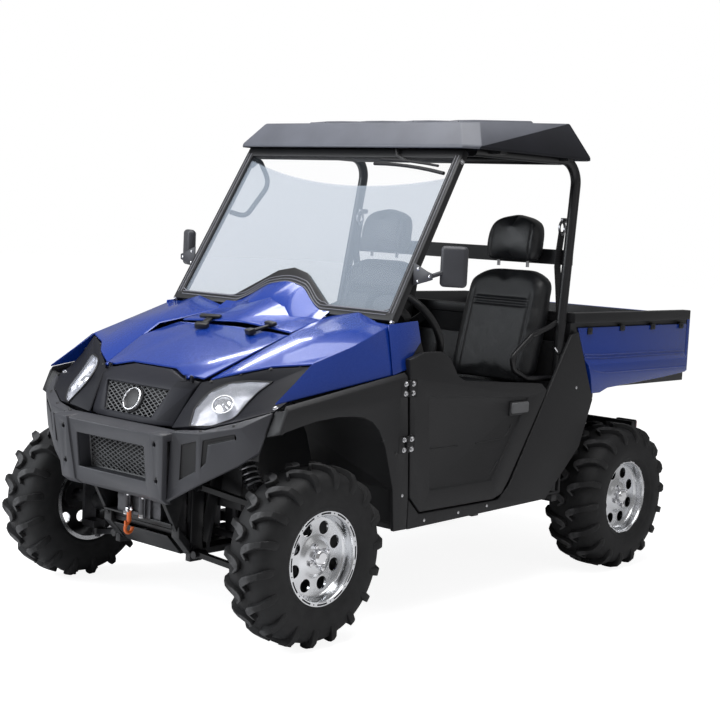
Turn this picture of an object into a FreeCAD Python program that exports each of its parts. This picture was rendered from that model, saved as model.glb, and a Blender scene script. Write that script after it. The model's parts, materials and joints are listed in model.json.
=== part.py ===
import FreeCAD, Part
import math
import os

V = FreeCAD.Vector

# Driving dimensions, in millimetres: +X is the vehicle's left, the nose points to -Y
wheelbase = 1930
front_overhang = 375
rear_overhang = 555
body_width = 1320
half_width = body_width / 2
front_axle_y = front_overhang - (front_overhang + wheelbase + rear_overhang) / 2
rear_axle_y = front_axle_y + wheelbase
overrun = 20
swing_gap = 6
seat_gap = 0.3
same_place = 1e-6
stub_share = 0.03

# Wheels and tyres
tyre_radius = 317.5
lug_height = 19
lug_root = 10
shoulder_drop = 38
sidewall_share = 0.6
sidewall_step = 4
bead_radius = 152.4
rim_lip = 13
rim_wall = 6
wheel_sides = 36
lug_pitches = 18
front_tyre_width = 203
rear_tyre_width = 254
front_rim_width = 178
rear_rim_width = 203
front_rim_proud = 62.7
rear_rim_proud = 35.2
front_rim_face_x = half_width + front_rim_proud
rear_rim_face_x = half_width + rear_rim_proud
rim_dish = 46
disc_thickness = 9
rim_hole_count = 8
rim_hole_radius = 21
rim_hole_circle = 100
hub_radius = 56
hub_raise = 14
cap_radius = 30
cap_length = 26
spindle_radius = 22
spindle_gap = 1
hub_bore_depth = 20

# Steering knuckles and suspension
kingpin_inset = 152
kingpin_x = half_width - kingpin_inset
kingpin_radius = 11
kingpin_gap = 0.4
knuckle_half_height = 108
knuckle_arm = 26
knuckle_plate = 16
knuckle_reach = 50
knuckle_width = 56
ball_end_height = 26
ball_end_radius = 24
arm_tube = 28
arm_inner_x = 225
arm_spread = 120
arm_rise = 60
shaft_radius = 13
boot_radius = 36
boot_length = 60
shaft_inner_x = 95
shock_radius = 27
shock_rod_radius = 9
shock_top_x = 262
shock_top_rise = 360
shock_foot_inset = 265
shock_foot_x = half_width - shock_foot_inset
shock_seat_width = 110
shock_seat_length = 36
shock_rings = 7
rear_hub_inset = 190
rear_hub_x = half_width - rear_hub_inset
rear_hub_thick = 34
rear_hub_half = 70

# Main frame
rail_size = 40
rail_half_gauge = 190
rail_drop = 47.5
rail_z = tyre_radius - rail_drop
rail_nose_rise = 70
rail_nose_length = 65
floor_beam_size = 30
rail_front_y = 205
rail_rear_y = 395
cross_place_shares = (0.0, 0.22, 0.45, 0.66, 1.0)
deck_rail_z = 700
deck_rail_gauge = 235
deck_ahead = 430
deck_behind = 370
deck_rail_front_y = wheelbase - deck_ahead
deck_rail_rear_y = wheelbase + deck_behind
skid_thickness = 5
skid_half_width = 150
skid_length = 900
hitch_width = 60
hitch_thickness = 14
hitch_length = 170
hitch_rise = 75
hitch_z = rail_z + hitch_rise
hitch_bore = 19.5

engine_size = (300, 390, 250)
engine_ahead = 400
engine_rise = 140
engine_y = wheelbase - engine_ahead
engine_z = rail_z + engine_rise
drive_length = 200
drive_width = 180
drive_height = engine_z - rail_z + rail_size / 2
muffler_radius = 85
muffler_length = 300
muffler_behind = 270
muffler_y = wheelbase + muffler_behind
muffler_z = 560
hanger_thickness = 8
engine_beam_behind = 70
engine_beam_y = engine_y + engine_beam_behind
tower_spread = 70

# Floor, seats and cabin
floor_z = 372
floor_thickness = 12
floor_front_y = 442
bulkhead_ahead = 430
floor_rear_y = wheelbase - bulkhead_ahead
toe_rise = 500
toe_front_y = 360
bulkhead_thickness = 14
bulkhead_top = 1000
platform_gap = 60
platform_length = 510
platform_rear_y = floor_rear_y - platform_gap
platform_front_y = platform_rear_y - platform_length
platform_top = 700
platform_wall = 8
platform_inset = 64
platform_half_width = half_width - platform_inset
cushion_inner_x = 142
cushion_inset = 78
cushion_width = half_width - cushion_inset - cushion_inner_x
cushion_centre_x = cushion_inner_x + cushion_width / 2
cushion_length = 480
cushion_height = 120
cushion_proud = 25
cushion_front_y = platform_front_y - cushion_proud
back_foot_z = platform_top + cushion_height + 2 * seat_gap
back_ahead = 88
back_foot_y = platform_rear_y - back_ahead
back_height = 480
back_lean = 128
back_thickness = 100
headrest_z = 1355
headrest_height = 158
headrest_width = 274
headrest_depth = 90
headrest_ahead = 22
headrest_y = platform_rear_y - headrest_ahead
post_radius = 7
post_spacing = 150
console_width = 150
console_length = 420
console_height = 150
lever_height = 190
lever_radius = 8
knob_radius = 20
dash_front_y = 420
dash_front_rise = 120
dash_depth = 250
dash_base_z = 820
dash_top_z = 1070
dash_inset = 75
dash_half_width = half_width - dash_inset
dash_wall = 10
wheel_centre_y = 775
wheel_centre_z = 1052
steer_ring_radius = 172
steer_tube = 15
steer_lean_degrees = 32
column_radius = 17
column_length = 190
steer_spokes = 3
spoke_width = 34
spoke_thickness = 12
hub_disc_radius = 48

# Roll cage, windshield and roof
cage_tube = 21
post_base_inset = 40
post_base_ahead = 38
post_base_x = half_width - post_base_inset
post_base_y = floor_rear_y - post_base_ahead
post_base_z = 1040
post_top_inset = 71
post_run = 103
post_top_x = half_width - post_top_inset
post_top_y = post_base_y + post_run
roof_rail_z = 1748
cage_bend = 90
roof_pad = 16
hip_tube = 11
hip_bend = 28
hip_inset = 55
hip_length = 300
hip_low_z = 852
hip_height = 232
hip_shares = ((0.83, 0.92), (0.42, 0.78), (0, 0.42), (0.06, 0.19), (0.34, 0.03))
screen_base_y = 440
screen_base_z = 1100
screen_rise = 641
screen_run = 387
screen_base_inset = 57
screen_top_inset = 74
screen_half_base = half_width - screen_base_inset
screen_half_top = half_width - screen_top_inset
screen_depth = 30
screen_bar = 38
glass_thickness = 5
bar_height = 62
bar_thickness = 24
bar_z = 1318
bar_ahead = 37
bar_y = post_top_y - bar_ahead
roof_inset_x = 10
roof_half_width = half_width - roof_inset_x
roof_front_y = 782
roof_overhang = 50
roof_length = post_top_y + roof_overhang - roof_front_y
roof_z = 1762
roof_height = 138
roof_front_share = 0.66
roof_wall = 6
roof_inset = 68
roof_lip = 42
rib_height = 12
rib_width = 60
mirror_proud = 45
mirror_x = half_width + mirror_proud
mirror_y = 619
mirror_z = 1316
mirror_width = 142
mirror_height = 142
mirror_depth = 58
mirror_arm_radius = 8

# Doors, side panels and fenders
door_front_y = 473
door_z = 402
door_gap = 161
door_length = floor_rear_y - door_gap - door_front_y
door_height = 592
door_thickness = 26
door_recess = 7
door_shares = ((0, 0.963), (0.09, 1), (0.21, 1), (0.275, 0.95), (0.33, 0.84), (0.381, 0.804),
               (0.96, 0.745), (1, 0.70), (0.99, 0.66), (0.74, 0.11), (0.69, 0.025), (0.63, 0),
               (0.113, 0), (0.043, 0.103))
door_recess_shares = ((0.14, 0.72), (0.86, 0.66), (0.62, 0.13), (0.17, 0.13))
handle_ahead = 231
handle_y = door_front_y + door_length - handle_ahead
handle_z = 738
handle_length = 68
handle_height = 34
hinge_radius = 7
hinge_height = 62
hinge_leaf = 34
hinge_gap = 0.6
hinge_leaf_thickness = 4
hinge_z = (633, 836)
panel_front_y = 504
panel_z = 344
panel_ahead = 251
panel_length = wheelbase - panel_ahead - panel_front_y
panel_height = 702
panel_thickness = 16
panel_shares = ((0, 0), (0.741, 0.027), (0.931, 0.309), (1, 0.588), (0.885, 1), (0.843, 0.983),
                (0.727, 0.672), (0.525, 0.145), (0.470, 0.075), (0.442, 0.073), (0.053, 0.073), (0, 0.16))
fender_front_y = -173
fender_z = 346
fender_length = 676
fender_height = 580
fender_skin = panel_thickness
fender_bevel = 16
fender_nose_inset = 60
fender_top_shares = ((0, 0.69), (0.049, 0.85), (0.937, 1), (0.943, 1), (0.996, 0.202), (0.994, 0))
fender_arch_shares = ((0.888, 0), (0.865, 0.271), (0.79, 0.54), (0.732, 0.654), (0.678, 0.709),
                      (0.611, 0.741),
                      (0.54, 0.753), (0.419, 0.76), (0.256, 0.747), (0.143, 0.724))
liner_inner_x = 262
liner_thickness = 6

# Bed
bed_gap = 15
bed_front_y = floor_rear_y + bed_gap
bed_length = wheelbase + rear_overhang - bed_front_y
bed_inset = 22
bed_half_width = half_width - bed_inset
bed_floor_z = 800
bed_floor_thickness = 14
bed_wall = 22
bed_top_z = 1082
bed_rail_height = 42
bed_rail_overhang = 20
arch_front_share = 0.215
arch_rear_share = 0.79
skin_thickness = 9
skin_front_gap = 42
skin_front_y = bed_front_y + skin_front_gap
skin_front_rake = 140
skin_rear_gap = 47
skin_rear_y = wheelbase + rear_overhang - skin_rear_gap
skin_base_z = 762
skin_ridge_z = 906
skin_top_z = 1062
skin_ridge_out = 24
tailgate_thickness = 30
tailgate_hinge_z = 842
tailgate_hinge_radius = 8
tailgate_hinge_width = 36
tailgate_hinge_x = 430
bed_pivot_ahead = 55
bed_pivot_y = deck_rail_rear_y - bed_pivot_ahead
bed_pivot_z = 752
bed_pivot_radius = 12
bed_pivot_gap = 0.4
bed_lug_height = 40
bed_lug_width = 26

# Nose, hood and bumper
hood_skin = 6
lid_gap = 6
lid_hinge_y = -196
lid_hinge_z = 893
lid_half_width = 300
lid_length = 430
lid_rise = 125
lid_base_z = 905
lid_tab_x = 217
lid_tab_width = 16
lid_tab_length = 24
lid_ear_width = 10
lid_ear_height = 22
lid_barrel_radius = 5
lid_pin_radius = 3
lid_front_y = -205
cowl_inset = 8
cowl_width = half_width - cowl_inset
cowl_front_y = -190
cowl_length = 744
cowl_base_z = 840
cowl_height = 370
nose_half_width = 262
nose_z = 722
nose_height = 186
nose_depth = 197
nose_front_y = -297
nose_skin = 8
nose_window_z = 745
nose_window_height = 98
nose_window_half_low = 129
nose_window_half_top = 173
bezel_x = 262
bezel_inset = 45
bezel_width = half_width - bezel_inset - bezel_x
bezel_y = -300
bezel_length = 325
bezel_height = 239
bezel_thickness = 9
lamp_foot_x = 338
lamp_foot_y = -287
lamp_foot_z = 741
lamp_width = 245
lamp_height = 211
lamp_turn_degrees = 25.6
lamp_lean_degrees = 48.2
lamp_depth = 30
lamp_crown = 14
badge_radius = 40
badge_thickness = 9
grille_bar = 5
grille_pitch = 36
grille_thickness = 5
bumper_z = 464
bumper_height = nose_z - seat_gap - bumper_z
bumper_depth = 90
bumper_skin = 12
bumper_lean = 30
plate_inner_x = 232
plate_width = 74
plate_hole_radius = 8
plate_hole_spacing = 127
plate_hole_low_z = 547
window_half_width = 188
window_z = 534
window_height = 124
wing_x = 297
wing_inset = 58
wing_width = half_width - wing_inset - wing_x
wing_y = -352
wing_length = 202
wing_z = 475
wing_height = 340
stay_size = 30
bracket_width = 26

# Winch and lamps
winch_y = -215
winch_width = 240
winch_depth = 106
winch_tray = 8
winch_rise = 100
winch_z = rail_z + winch_rise
winch_height = 110
fairlead_width = 150
fairlead_height = 96
roller_radius = 12
roller_length = 74
roller_half_gap = 42
fairlead_thickness = 10
hook_width = 26
hook_height = 92
hook_thickness = 20
tail_lamp_size = (120, 36, 70)
tail_lamp_x = 470
tail_lamp_z = 590
rear_bar_gap = 30
rear_bar_y = deck_rail_rear_y + rear_bar_gap


def along(y):
    """Place on the Y axis of a point given from the front axle."""
    return front_axle_y + y


def face(points):
    return Part.Face(Part.makePolygon(list(points) + [points[0]]))


def is_flat(points):
    normal = (points[1] - points[0]).cross(points[2] - points[0])
    if normal.Length == 0:
        return False
    normal.normalize()
    return all(abs((p - points[0]).dot(normal)) < 1e-7 for p in points)


def facets(points):
    """One flat face through the points, or the two triangles of a bent quad."""
    kept = [p for i, p in enumerate(points) if (p - points[i - 1]).Length > same_place]
    if len(kept) < 3:
        return []
    if len(kept) == 3 or is_flat(kept):
        return [face(kept)]
    return [face([kept[0], kept[1], kept[2]]), face([kept[0], kept[2], kept[3]])]


def solid_of(faces):
    shell = Part.makeShell(faces)
    shell.sewShape()
    solid = Part.makeSolid(shell)
    if solid.Volume < 0:
        solid.reverse()
    return solid


def cap(points):
    """End of a solid: one flat face, or triangles from its first point."""
    if is_flat(points):
        return [face(points)]
    return [face([points[0], a, b]) for a, b in zip(points[1:], points[2:])]


def skin(sections):
    """Solid through closed sections that have the same number of points."""
    faces = cap(sections[0]) + cap(sections[-1])
    for low, high in zip(sections, sections[1:]):
        for i in range(len(low)):
            faces += facets([low[i - 1], low[i], high[i], high[i - 1]])
    return solid_of(faces)


def prism(points, direction):
    return face(points).extrude(direction)


def slab(x, y, z):
    """Block between two places on each axis."""
    size = (x[1] - x[0], y[1] - y[0], z[1] - z[0])
    return Part.makeBox(size[0], size[1], size[2], V(x[0], y[0], z[0]))


def plate_x(outline, x_low, x_high):
    """Flat piece with a (y, z) outline between two places on the X axis."""
    return prism([V(x_low, y, z) for y, z in outline], V(x_high - x_low, 0, 0))


def in_box(shares, y, z, length, height):
    return [(along(y) + a * length, z + b * height) for a, b in shares]


def beam(start, end, width, height):
    """Straight square tube, kept upright, between two points."""
    run = end - start
    side = V(0, 0, 1).cross(run)
    if side.Length < same_place:
        side = V(1, 0, 0)
    side.normalize()
    rise = run.cross(side)
    rise.normalize()
    side = side * (width / 2)
    rise = rise * (height / 2)
    return prism([start - side - rise, start + side - rise, start + side + rise, start - side + rise], run)


def rod(start, end, radius):
    run = end - start
    return Part.makeCylinder(radius, run.Length, start, run)


def bent_tube(points, radius, bend):
    """Round tube along straight runs with an arc at each inner point."""
    edges = []
    here = points[0]
    for before, corner, after in zip(points, points[1:], points[2:]):
        a = before - corner
        b = after - corner
        a.normalize()
        b.normalize()
        half = a.getAngle(b) / 2
        back = bend / math.tan(half)
        start = corner + a * back
        end = corner + b * back
        middle_way = a + b
        middle_way.normalize()
        middle = corner + middle_way * (bend / math.sin(half) - bend)
        edges += [Part.LineSegment(here, start).toShape(), Part.Arc(start, middle, end).toShape()]
        here = end
    edges.append(Part.LineSegment(here, points[-1]).toShape())
    path = Part.Wire(edges)
    ring = Part.Wire(Part.makeCircle(radius, points[0], points[1] - points[0]))
    return path.makePipeShell([ring], True, True)


def mirrored(shape):
    return shape.mirror(V(0, 0, 0), V(1, 0, 0))


def pair(shape):
    return Part.makeCompound([shape, mirrored(shape)])


def joined(shapes):
    return shapes[0].multiFuse(shapes[1:]).removeSplitter()


def welded(tubes):
    """Tubes that end on each other, each a solid of its own; stubs inside an earlier one are left out."""
    laid = []
    for tube in tubes:
        left = tube.cut(laid) if laid else tube
        laid += [solid for solid in left.Solids if solid.Volume > tube.Volume * stub_share]
    return Part.makeCompound(laid)


def save(name, shape):
    shape.exportStep("parts/" + name + ".step")


def turned(profile, x, y, z):
    """Closed (along X, radius) profile turned in flat facets about a wheel's axle."""
    def at(place, radius, side):
        turn = 2 * math.pi * (side + 0.5) / wheel_sides
        return V(x + place, y + radius * math.sin(turn), z + radius * math.cos(turn))

    faces = []
    for side in range(wheel_sides):
        for low, high in zip(profile, profile[1:] + profile[:1]):
            if low[1] == 0 and high[1] == 0:
                continue
            faces += facets([at(*low, side), at(*high, side), at(*high, side + 1), at(*low, side + 1)])
    return solid_of(faces)


def lug(x, y, z, turn, reach, hand):
    """One tread bar from the middle of the tread out over the shoulder."""
    crest = tyre_radius - lug_height
    rows = ((0.02, 0.0, 0.045, tyre_radius, crest - lug_root),
            (0.55, -0.05, 0.05, tyre_radius, crest - lug_root),
            (1.0, -0.13, 0.062, tyre_radius - shoulder_drop, crest - shoulder_drop - 2 * lug_root))
    sections = []
    for share, lean, half_turn, top, low in rows:
        place = x + hand * share * reach
        points = []
        for radius, side in ((low, -1), (low, 1), (top, 0.8), (top, -0.8)):
            angle = turn + lean + side * half_turn
            flat_radius = radius * math.cos(half_turn) / math.cos(side * half_turn)
            points.append(V(place, y + flat_radius * math.sin(angle), z + flat_radius * math.cos(angle)))
        sections.append(points)
    return skin(sections)


def tyre(x, y, width, rim_width):
    z = tyre_radius
    half = width / 2 - sidewall_step
    bead = rim_width / 2 - 2 * rim_wall
    crest = tyre_radius - lug_height
    side = [(bead, bead_radius), (bead, bead_radius + 1.5 * rim_lip),
            (half, bead_radius + sidewall_share * (crest - shoulder_drop - bead_radius)),
            (half, crest - shoulder_drop), (half - shoulder_drop / 2, crest)]
    carcass = turned(side + [(-a, b) for a, b in reversed(side)], x, y, z)
    lugs = []
    for pitch in range(lug_pitches):
        turn = 2 * math.pi * pitch / lug_pitches
        lugs.append(lug(x, y, z, turn, width / 2, 1))
        lugs.append(lug(x, y, z, turn + math.pi / lug_pitches, width / 2, -1))
    return carcass.multiFuse(lugs)


def rim(face_x, y, width):
    z = tyre_radius
    lip = bead_radius + rim_lip
    seat = bead_radius
    disc = rim_dish + disc_thickness
    front = [(0, lip), (0, lip - rim_wall), (2 * rim_wall, seat - rim_wall),
             (rim_dish, seat - 2 * rim_wall),
             (rim_dish, hub_radius + hub_raise), (rim_dish - hub_raise, hub_radius),
             (rim_dish - hub_raise, cap_radius), (rim_dish - hub_raise - cap_length, 0.8 * cap_radius),
             (rim_dish - hub_raise - cap_length, 0)]
    bore = spindle_radius + spindle_gap
    back = [(disc, 0), (disc, bore), (disc + hub_bore_depth, bore), (disc + hub_bore_depth, hub_radius),
            (disc, hub_radius), (disc, seat - 2.5 * rim_wall), (width, seat - rim_wall), (width, lip),
            (width - 2 * rim_wall, lip), (width - 2 * rim_wall, seat), (2 * rim_wall, seat), (2 * rim_wall,
                                                                                              lip)]
    body = turned([(-a, b) for a, b in front + back], face_x, y, z)
    holes = []
    for i in range(rim_hole_count):
        turn = 2 * math.pi * (i + 0.5) / rim_hole_count
        centre = V(face_x - disc - overrun, y + rim_hole_circle * math.sin(turn),
                   z + rim_hole_circle * math.cos(turn))
        ring = []
        for k in range(12):
            a = 2 * math.pi * k / 12
            ring.append(centre + V(0, rim_hole_radius * math.sin(a), rim_hole_radius * math.cos(a)))
        holes.append(prism(ring, V(disc_thickness + 2 * overrun, 0, 0)))
    return body.cut(holes)


def wheels():
    sets = (("front", along(0), front_rim_face_x, front_rim_width, front_tyre_width),
            ("rear", along(wheelbase), rear_rim_face_x, rear_rim_width, rear_tyre_width))
    for place, y, face_x, rim_width, tyre_width in sets:
        rubber = tyre(face_x - rim_width / 2, y, tyre_width, rim_width)
        metal = rim(face_x, y, rim_width)
        save("tyre_%s_left" % place, rubber)
        save("tyre_%s_right" % place, mirrored(rubber))
        save("rim_%s_left" % place, metal)
        save("rim_%s_right" % place, mirrored(metal))


def knuckles():
    """Forked upright with its kingpins and the wheel's spindle."""
    y = along(0)
    z = tyre_radius
    plate_x_low = kingpin_x + knuckle_reach
    half = knuckle_width / 2
    parts = [slab((plate_x_low, plate_x_low + knuckle_plate), (y - half, y + half),
                  (z - knuckle_half_height, z + knuckle_half_height))]
    for sign in (-1, 1):
        far = z + sign * knuckle_half_height
        near = far - sign * knuckle_arm
        low, high = min(far, near), max(far, near)
        parts.append(slab((kingpin_x - kingpin_radius, plate_x_low + knuckle_plate), (y - half, y + half),
                          (low, high)))
        pin_end = ball_end_height + 2 * seat_gap + kingpin_radius
        parts.append(rod(V(kingpin_x, y, far - sign * kingpin_radius),
                         V(kingpin_x, y, far + sign * pin_end), kingpin_radius))
    spindle_start = V(plate_x_low, y, z)
    spindle_end = V(front_rim_face_x - rim_dish - disc_thickness - 1.0 * spindle_gap, y, z)
    parts.append(rod(spindle_start, spindle_end, spindle_radius))
    left = joined(parts)
    save("knuckle_front_left", left)
    save("knuckle_front_right", mirrored(left))


def shock_seat_z(z_inner, outer_x):
    """Top of the saddle that an upper wishbone carries for its shock absorber."""
    share = (shock_foot_x - arm_inner_x) / (outer_x - arm_inner_x)
    return z_inner - share * arm_rise + arm_tube / 2


def saddle(y, z_inner, outer_x):
    top = shock_seat_z(z_inner, outer_x)
    long = shock_seat_length / 2
    wide = shock_seat_width / 2
    return slab((shock_foot_x - long, shock_foot_x + long), (y - wide, y + wide), (top - arm_tube / 2, top))


def wishbone(y, outer_x, z_outer, z_inner, end):
    """Two tubes that meet in an eye, or in a foot, at the wheel's side."""
    legs = []
    for sign in (-1, 1):
        inner = V(arm_inner_x, y + sign * arm_spread, z_inner)
        legs.append(beam(inner, V(outer_x - ball_end_radius, y + sign * arm_tube / 4, z_outer), arm_tube,
                         arm_tube / 1.5))
        legs.append(rod(inner - V(0, arm_tube, 0), inner + V(0, arm_tube, 0), arm_tube / 2))
    return joined(legs + [end])


def suspension():
    z = tyre_radius
    arms = []
    y = along(0)
    for sign in (-1, 1):
        low = z + sign * knuckle_half_height + (seat_gap if sign > 0 else -seat_gap - ball_end_height)
        eye = Part.makeCylinder(ball_end_radius, ball_end_height, V(kingpin_x, y, low))
        arm = wishbone(y, kingpin_x, low + ball_end_height / 2, low + ball_end_height / 2 + arm_rise, eye)
        if sign > 0:
            arm = arm.fuse(saddle(y, arm_z(0, 1), kingpin_x))
        arms.append(arm.cut(Part.makeCylinder(kingpin_radius + kingpin_gap, ball_end_height + 2 * overrun,
                                              V(kingpin_x, y, low - overrun))))
    y = along(wheelbase)
    for sign in (-1, 1):
        middle = z + sign * (rear_hub_half - arm_tube / 2)
        end = slab((rear_hub_x - 2 * ball_end_radius, rear_hub_x - rear_hub_thick),
                   (y - arm_tube, y + arm_tube),
                   (middle - arm_tube / 2, middle + arm_tube / 2))
        arm = wishbone(y, rear_hub_x - ball_end_radius, middle, middle + arm_rise, end)
        arms.append(arm.fuse(saddle(y, arm_z(1, 1), rear_hub_x)) if sign > 0 else arm)
    save("suspension_arms", Part.makeCompound(arms + [mirrored(a) for a in arms]))
    shocks = [shock(along(0), shock_seat_z(arm_z(0, 1), kingpin_x)),
              shock(along(wheelbase), shock_seat_z(arm_z(1, 1), rear_hub_x))]
    save("shock_absorbers", Part.makeCompound(shocks + [mirrored(s) for s in shocks]))
    hub = slab((rear_hub_x - rear_hub_thick, rear_hub_x), (y - rear_hub_half, y + rear_hub_half),
               (z - rear_hub_half, z + rear_hub_half))
    end_x = rear_rim_face_x - rim_dish - disc_thickness - spindle_gap
    hub = joined([hub, rod(V(rear_hub_x - rear_hub_thick, y, z), V(end_x, y, z), spindle_radius)])
    save("rear_hubs", pair(hub))
    shafts = [half_shaft(along(0), kingpin_x), half_shaft(along(wheelbase), rear_hub_x - rear_hub_thick)]
    save("half_shafts", Part.makeCompound(shafts + [mirrored(s) for s in shafts]))


def shock(y, foot_z):
    """Coil spring over its damper, drawn as a ribbed sleeve, with a rod and two eyes."""
    top = V(shock_top_x, y, tyre_radius + shock_top_rise)
    foot = V(shock_foot_x, y, foot_z)
    lift = V(0, 0, shock_rod_radius * (foot.x - top.x) / (top - foot).Length + seat_gap)
    top = top - lift
    foot = foot + lift
    way = (top - foot) * 0.16
    low = foot + way
    high = top - way
    parts = [rod(foot, top, shock_rod_radius)]
    step = (high - low) * (1 / (2 * shock_rings - 1))
    for i in range(shock_rings):
        start = low + step * (2 * i)
        parts.append(rod(start, start + step, shock_radius))
    parts.append(rod(low, high, shock_radius * 0.7))
    return joined(parts)


def half_shaft(y, outer_x):
    z = tyre_radius
    start = V(shaft_inner_x, y, z)
    end = V(outer_x, y, z)
    way = V(boot_length, 0, 0)
    inner = Part.makeCone(boot_radius, 1.4 * shaft_radius, boot_length, start, V(1, 0, 0))
    outer = Part.makeCone(1.4 * shaft_radius, boot_radius, boot_length, end - way, V(1, 0, 0))
    return joined([rod(start, end, shaft_radius), inner, outer])


def main_frame():
    z = rail_z
    front = along(-rail_front_y)
    rear = along(wheelbase + rail_rear_y)
    half = rail_size / 2
    parts = []
    for sign in (-1, 1):
        x = sign * rail_half_gauge
        parts.append(plate_x(rail_outline(front, rear, z - half, z + half), x - half, x + half))
        deck = sign * deck_rail_gauge
        parts.append(slab((deck - half, deck + half), (along(deck_rail_front_y), along(deck_rail_rear_y)),
                          (deck_rail_z - half, deck_rail_z + half)))
        for y in (deck_rail_front_y + rail_size, deck_rail_rear_y - rail_size):
            parts.append(beam(V(x, along(y), z), V(deck, along(y), deck_rail_z), rail_size, rail_size))
        shock_top_z = tyre_radius + shock_top_rise
        for y in (along(0), along(wheelbase)):
            tower = V(sign * (shock_top_x - rail_size), y, shock_top_z)
            for side in (-1, 1):
                parts.append(beam(V(x, y + side * tower_spread, z), tower + V(0, side * half, half),
                                  rail_size, rail_size))
            parts.append(slab((min(tower.x, sign * (shock_top_x + half)),
                               max(tower.x, sign * (shock_top_x + half))),
                              (y - half, y + half), (shock_top_z, shock_top_z + rail_size)))
        parts += bumper_stay(x, front, half)
        parts += arm_brackets(sign)
    for share in cross_place_shares:
        y = front + rail_size + share * (rear - front - 2 * rail_size)
        high = z + half if share else winch_z - winch_tray
        parts.append(slab((-rail_half_gauge, rail_half_gauge), (y - half, y + half),
                          (high - rail_size, high)))
    parts.append(slab((-deck_rail_gauge, deck_rail_gauge),
                      (along(deck_rail_rear_y) - rail_size, along(deck_rail_rear_y)),
                      (deck_rail_z - half, deck_rail_z + half)))
    for y in (along(0), along(wheelbase)):
        parts.append(slab((-shock_top_x, shock_top_x), (y - half, y + half),
                          (tyre_radius + shock_top_rise, tyre_radius + shock_top_rise + rail_size)))
        for side in (-1, 1):
            middle = y + side * (drive_length / 2 + half)
            parts.append(slab((-rail_half_gauge, rail_half_gauge), (middle - half, middle + half),
                              (z - half, z + half)))
    parts += outriggers(z, half)
    frame = welded(parts + bed_pivot_pin())
    save("main_frame", frame)
    save("hitch_tongue", hitch(rear, z).cut(frame))


def rail_outline(front, rear, low, high):
    """Side of a rail whose nose rises to the front."""
    bend = front + rail_nose_length
    return [(front, low + rail_nose_rise), (bend, low), (rear, low), (rear, high), (bend, high),
            (front, high + rail_nose_rise)]


def bumper_stay(x, front, half):
    """Gusset on a rail's nose that carries the bumper."""
    top = window_z - 3 * grille_bar
    low = top - stay_size
    outline = [(along(bumper_face_y(z)) + bumper_skin + 2 * seat_gap, z) for z in (low, top)]
    nose_top = rail_z + rail_nose_rise
    lip = along(bumper_point(bumper_front_shares[3])[0]) + 2 * bumper_skin
    outline += [(front + rail_size, top), (front + rail_size, nose_top), (front, nose_top), (lip, low)]
    return [plate_x(outline, x - half / 2, x + half / 2)]


def arm_brackets(sign):
    """Plates that carry the wishbones' inner pivots beside the rails."""
    plates = []
    outer = sign * (arm_inner_x - arm_tube / 2 - seat_gap)
    inner = outer - sign * bracket_width
    for y, low, high in ((0, arm_z(0, -1), arm_z(0, 1)), (wheelbase, arm_z(1, -1), arm_z(1, 1))):
        for place in (along(y) - arm_spread, along(y) + arm_spread):
            foot = min(low - arm_tube, rail_z)
            plates.append(slab((min(inner, outer), max(inner, outer)), (place - arm_tube, place + arm_tube),
                               (foot, high + arm_tube)))
    return plates


def arm_z(axle, sign):
    """Height of a wishbone's inner pivot: front axle 0 or rear axle 1, lower -1 or upper 1."""
    if axle:
        return tyre_radius + sign * (rear_hub_half - arm_tube / 2) + arm_rise
    gap = seat_gap if sign > 0 else -seat_gap - ball_end_height
    return tyre_radius + sign * knuckle_half_height + gap + ball_end_height / 2 + arm_rise


def outriggers(z, half):
    """Cross tubes that carry the floor's edges, and the rear bar for the lamps."""
    parts = []
    reach = half_width - panel_thickness - seat_gap
    beam_low = floor_z - floor_beam_size
    for y in (floor_front_y + rail_size, platform_front_y, post_base_y):
        parts.append(slab((-reach, reach), (along(y) - half, along(y) + half), (beam_low, floor_z)))
        for sign in (-1, 1):
            x = sign * rail_half_gauge
            parts.append(slab((x - half, x + half), (along(y) - half, along(y) + half), (z, beam_low)))
    tray_front = along(winch_y) - fairlead_thickness
    parts.append(slab((-rail_half_gauge, rail_half_gauge), (tray_front, along(winch_y) + winch_depth),
                      (winch_z - winch_tray, winch_z)))
    y = along(engine_beam_y)
    parts.append(slab((-rail_half_gauge - half, rail_half_gauge + half), (y - half, y + half),
                      (engine_z - rail_size, engine_z)))
    low = tail_lamp_z - tail_lamp_size[2] / 2
    parts.append(slab((-tail_lamp_x, tail_lamp_x), (along(rear_bar_y) - half, along(rear_bar_y)),
                      (low, low + rail_size)))
    for sign in (-1, 1):
        x = sign * rail_half_gauge
        parts.append(slab((x - half, x + half), (along(rear_bar_y) - rail_size, along(rear_bar_y) - half),
                          (z, low + rail_size)))
        parts.append(slab((x - half, x + half), (y - half, y + half), (z, engine_z - half)))
        end = sign * muffler_length / 2
        outer = end + sign * hanger_thickness
        parts.append(slab((min(end, outer), max(end, outer)), (along(muffler_y), along(rear_bar_y) - half),
                          (low, low + rail_size)))
    return parts


def hitch(rear, z):
    """Rear tongue with its ball bore."""
    base_y = rear - rail_size
    tongue = slab((-hitch_width / 2, hitch_width / 2), (base_y, rear + hitch_length - rail_size),
                  (hitch_z, hitch_z + hitch_thickness))
    tongue = tongue.fuse(slab((-hitch_width / 2, hitch_width / 2), (base_y, rear), (z, hitch_z)))
    bore = Part.makeCylinder(hitch_bore / 2, hitch_thickness + 2 * overrun,
                             V(0, rear + hitch_length - rail_size - hitch_width / 2, hitch_z - overrun))
    return tongue.cut(bore)


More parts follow.
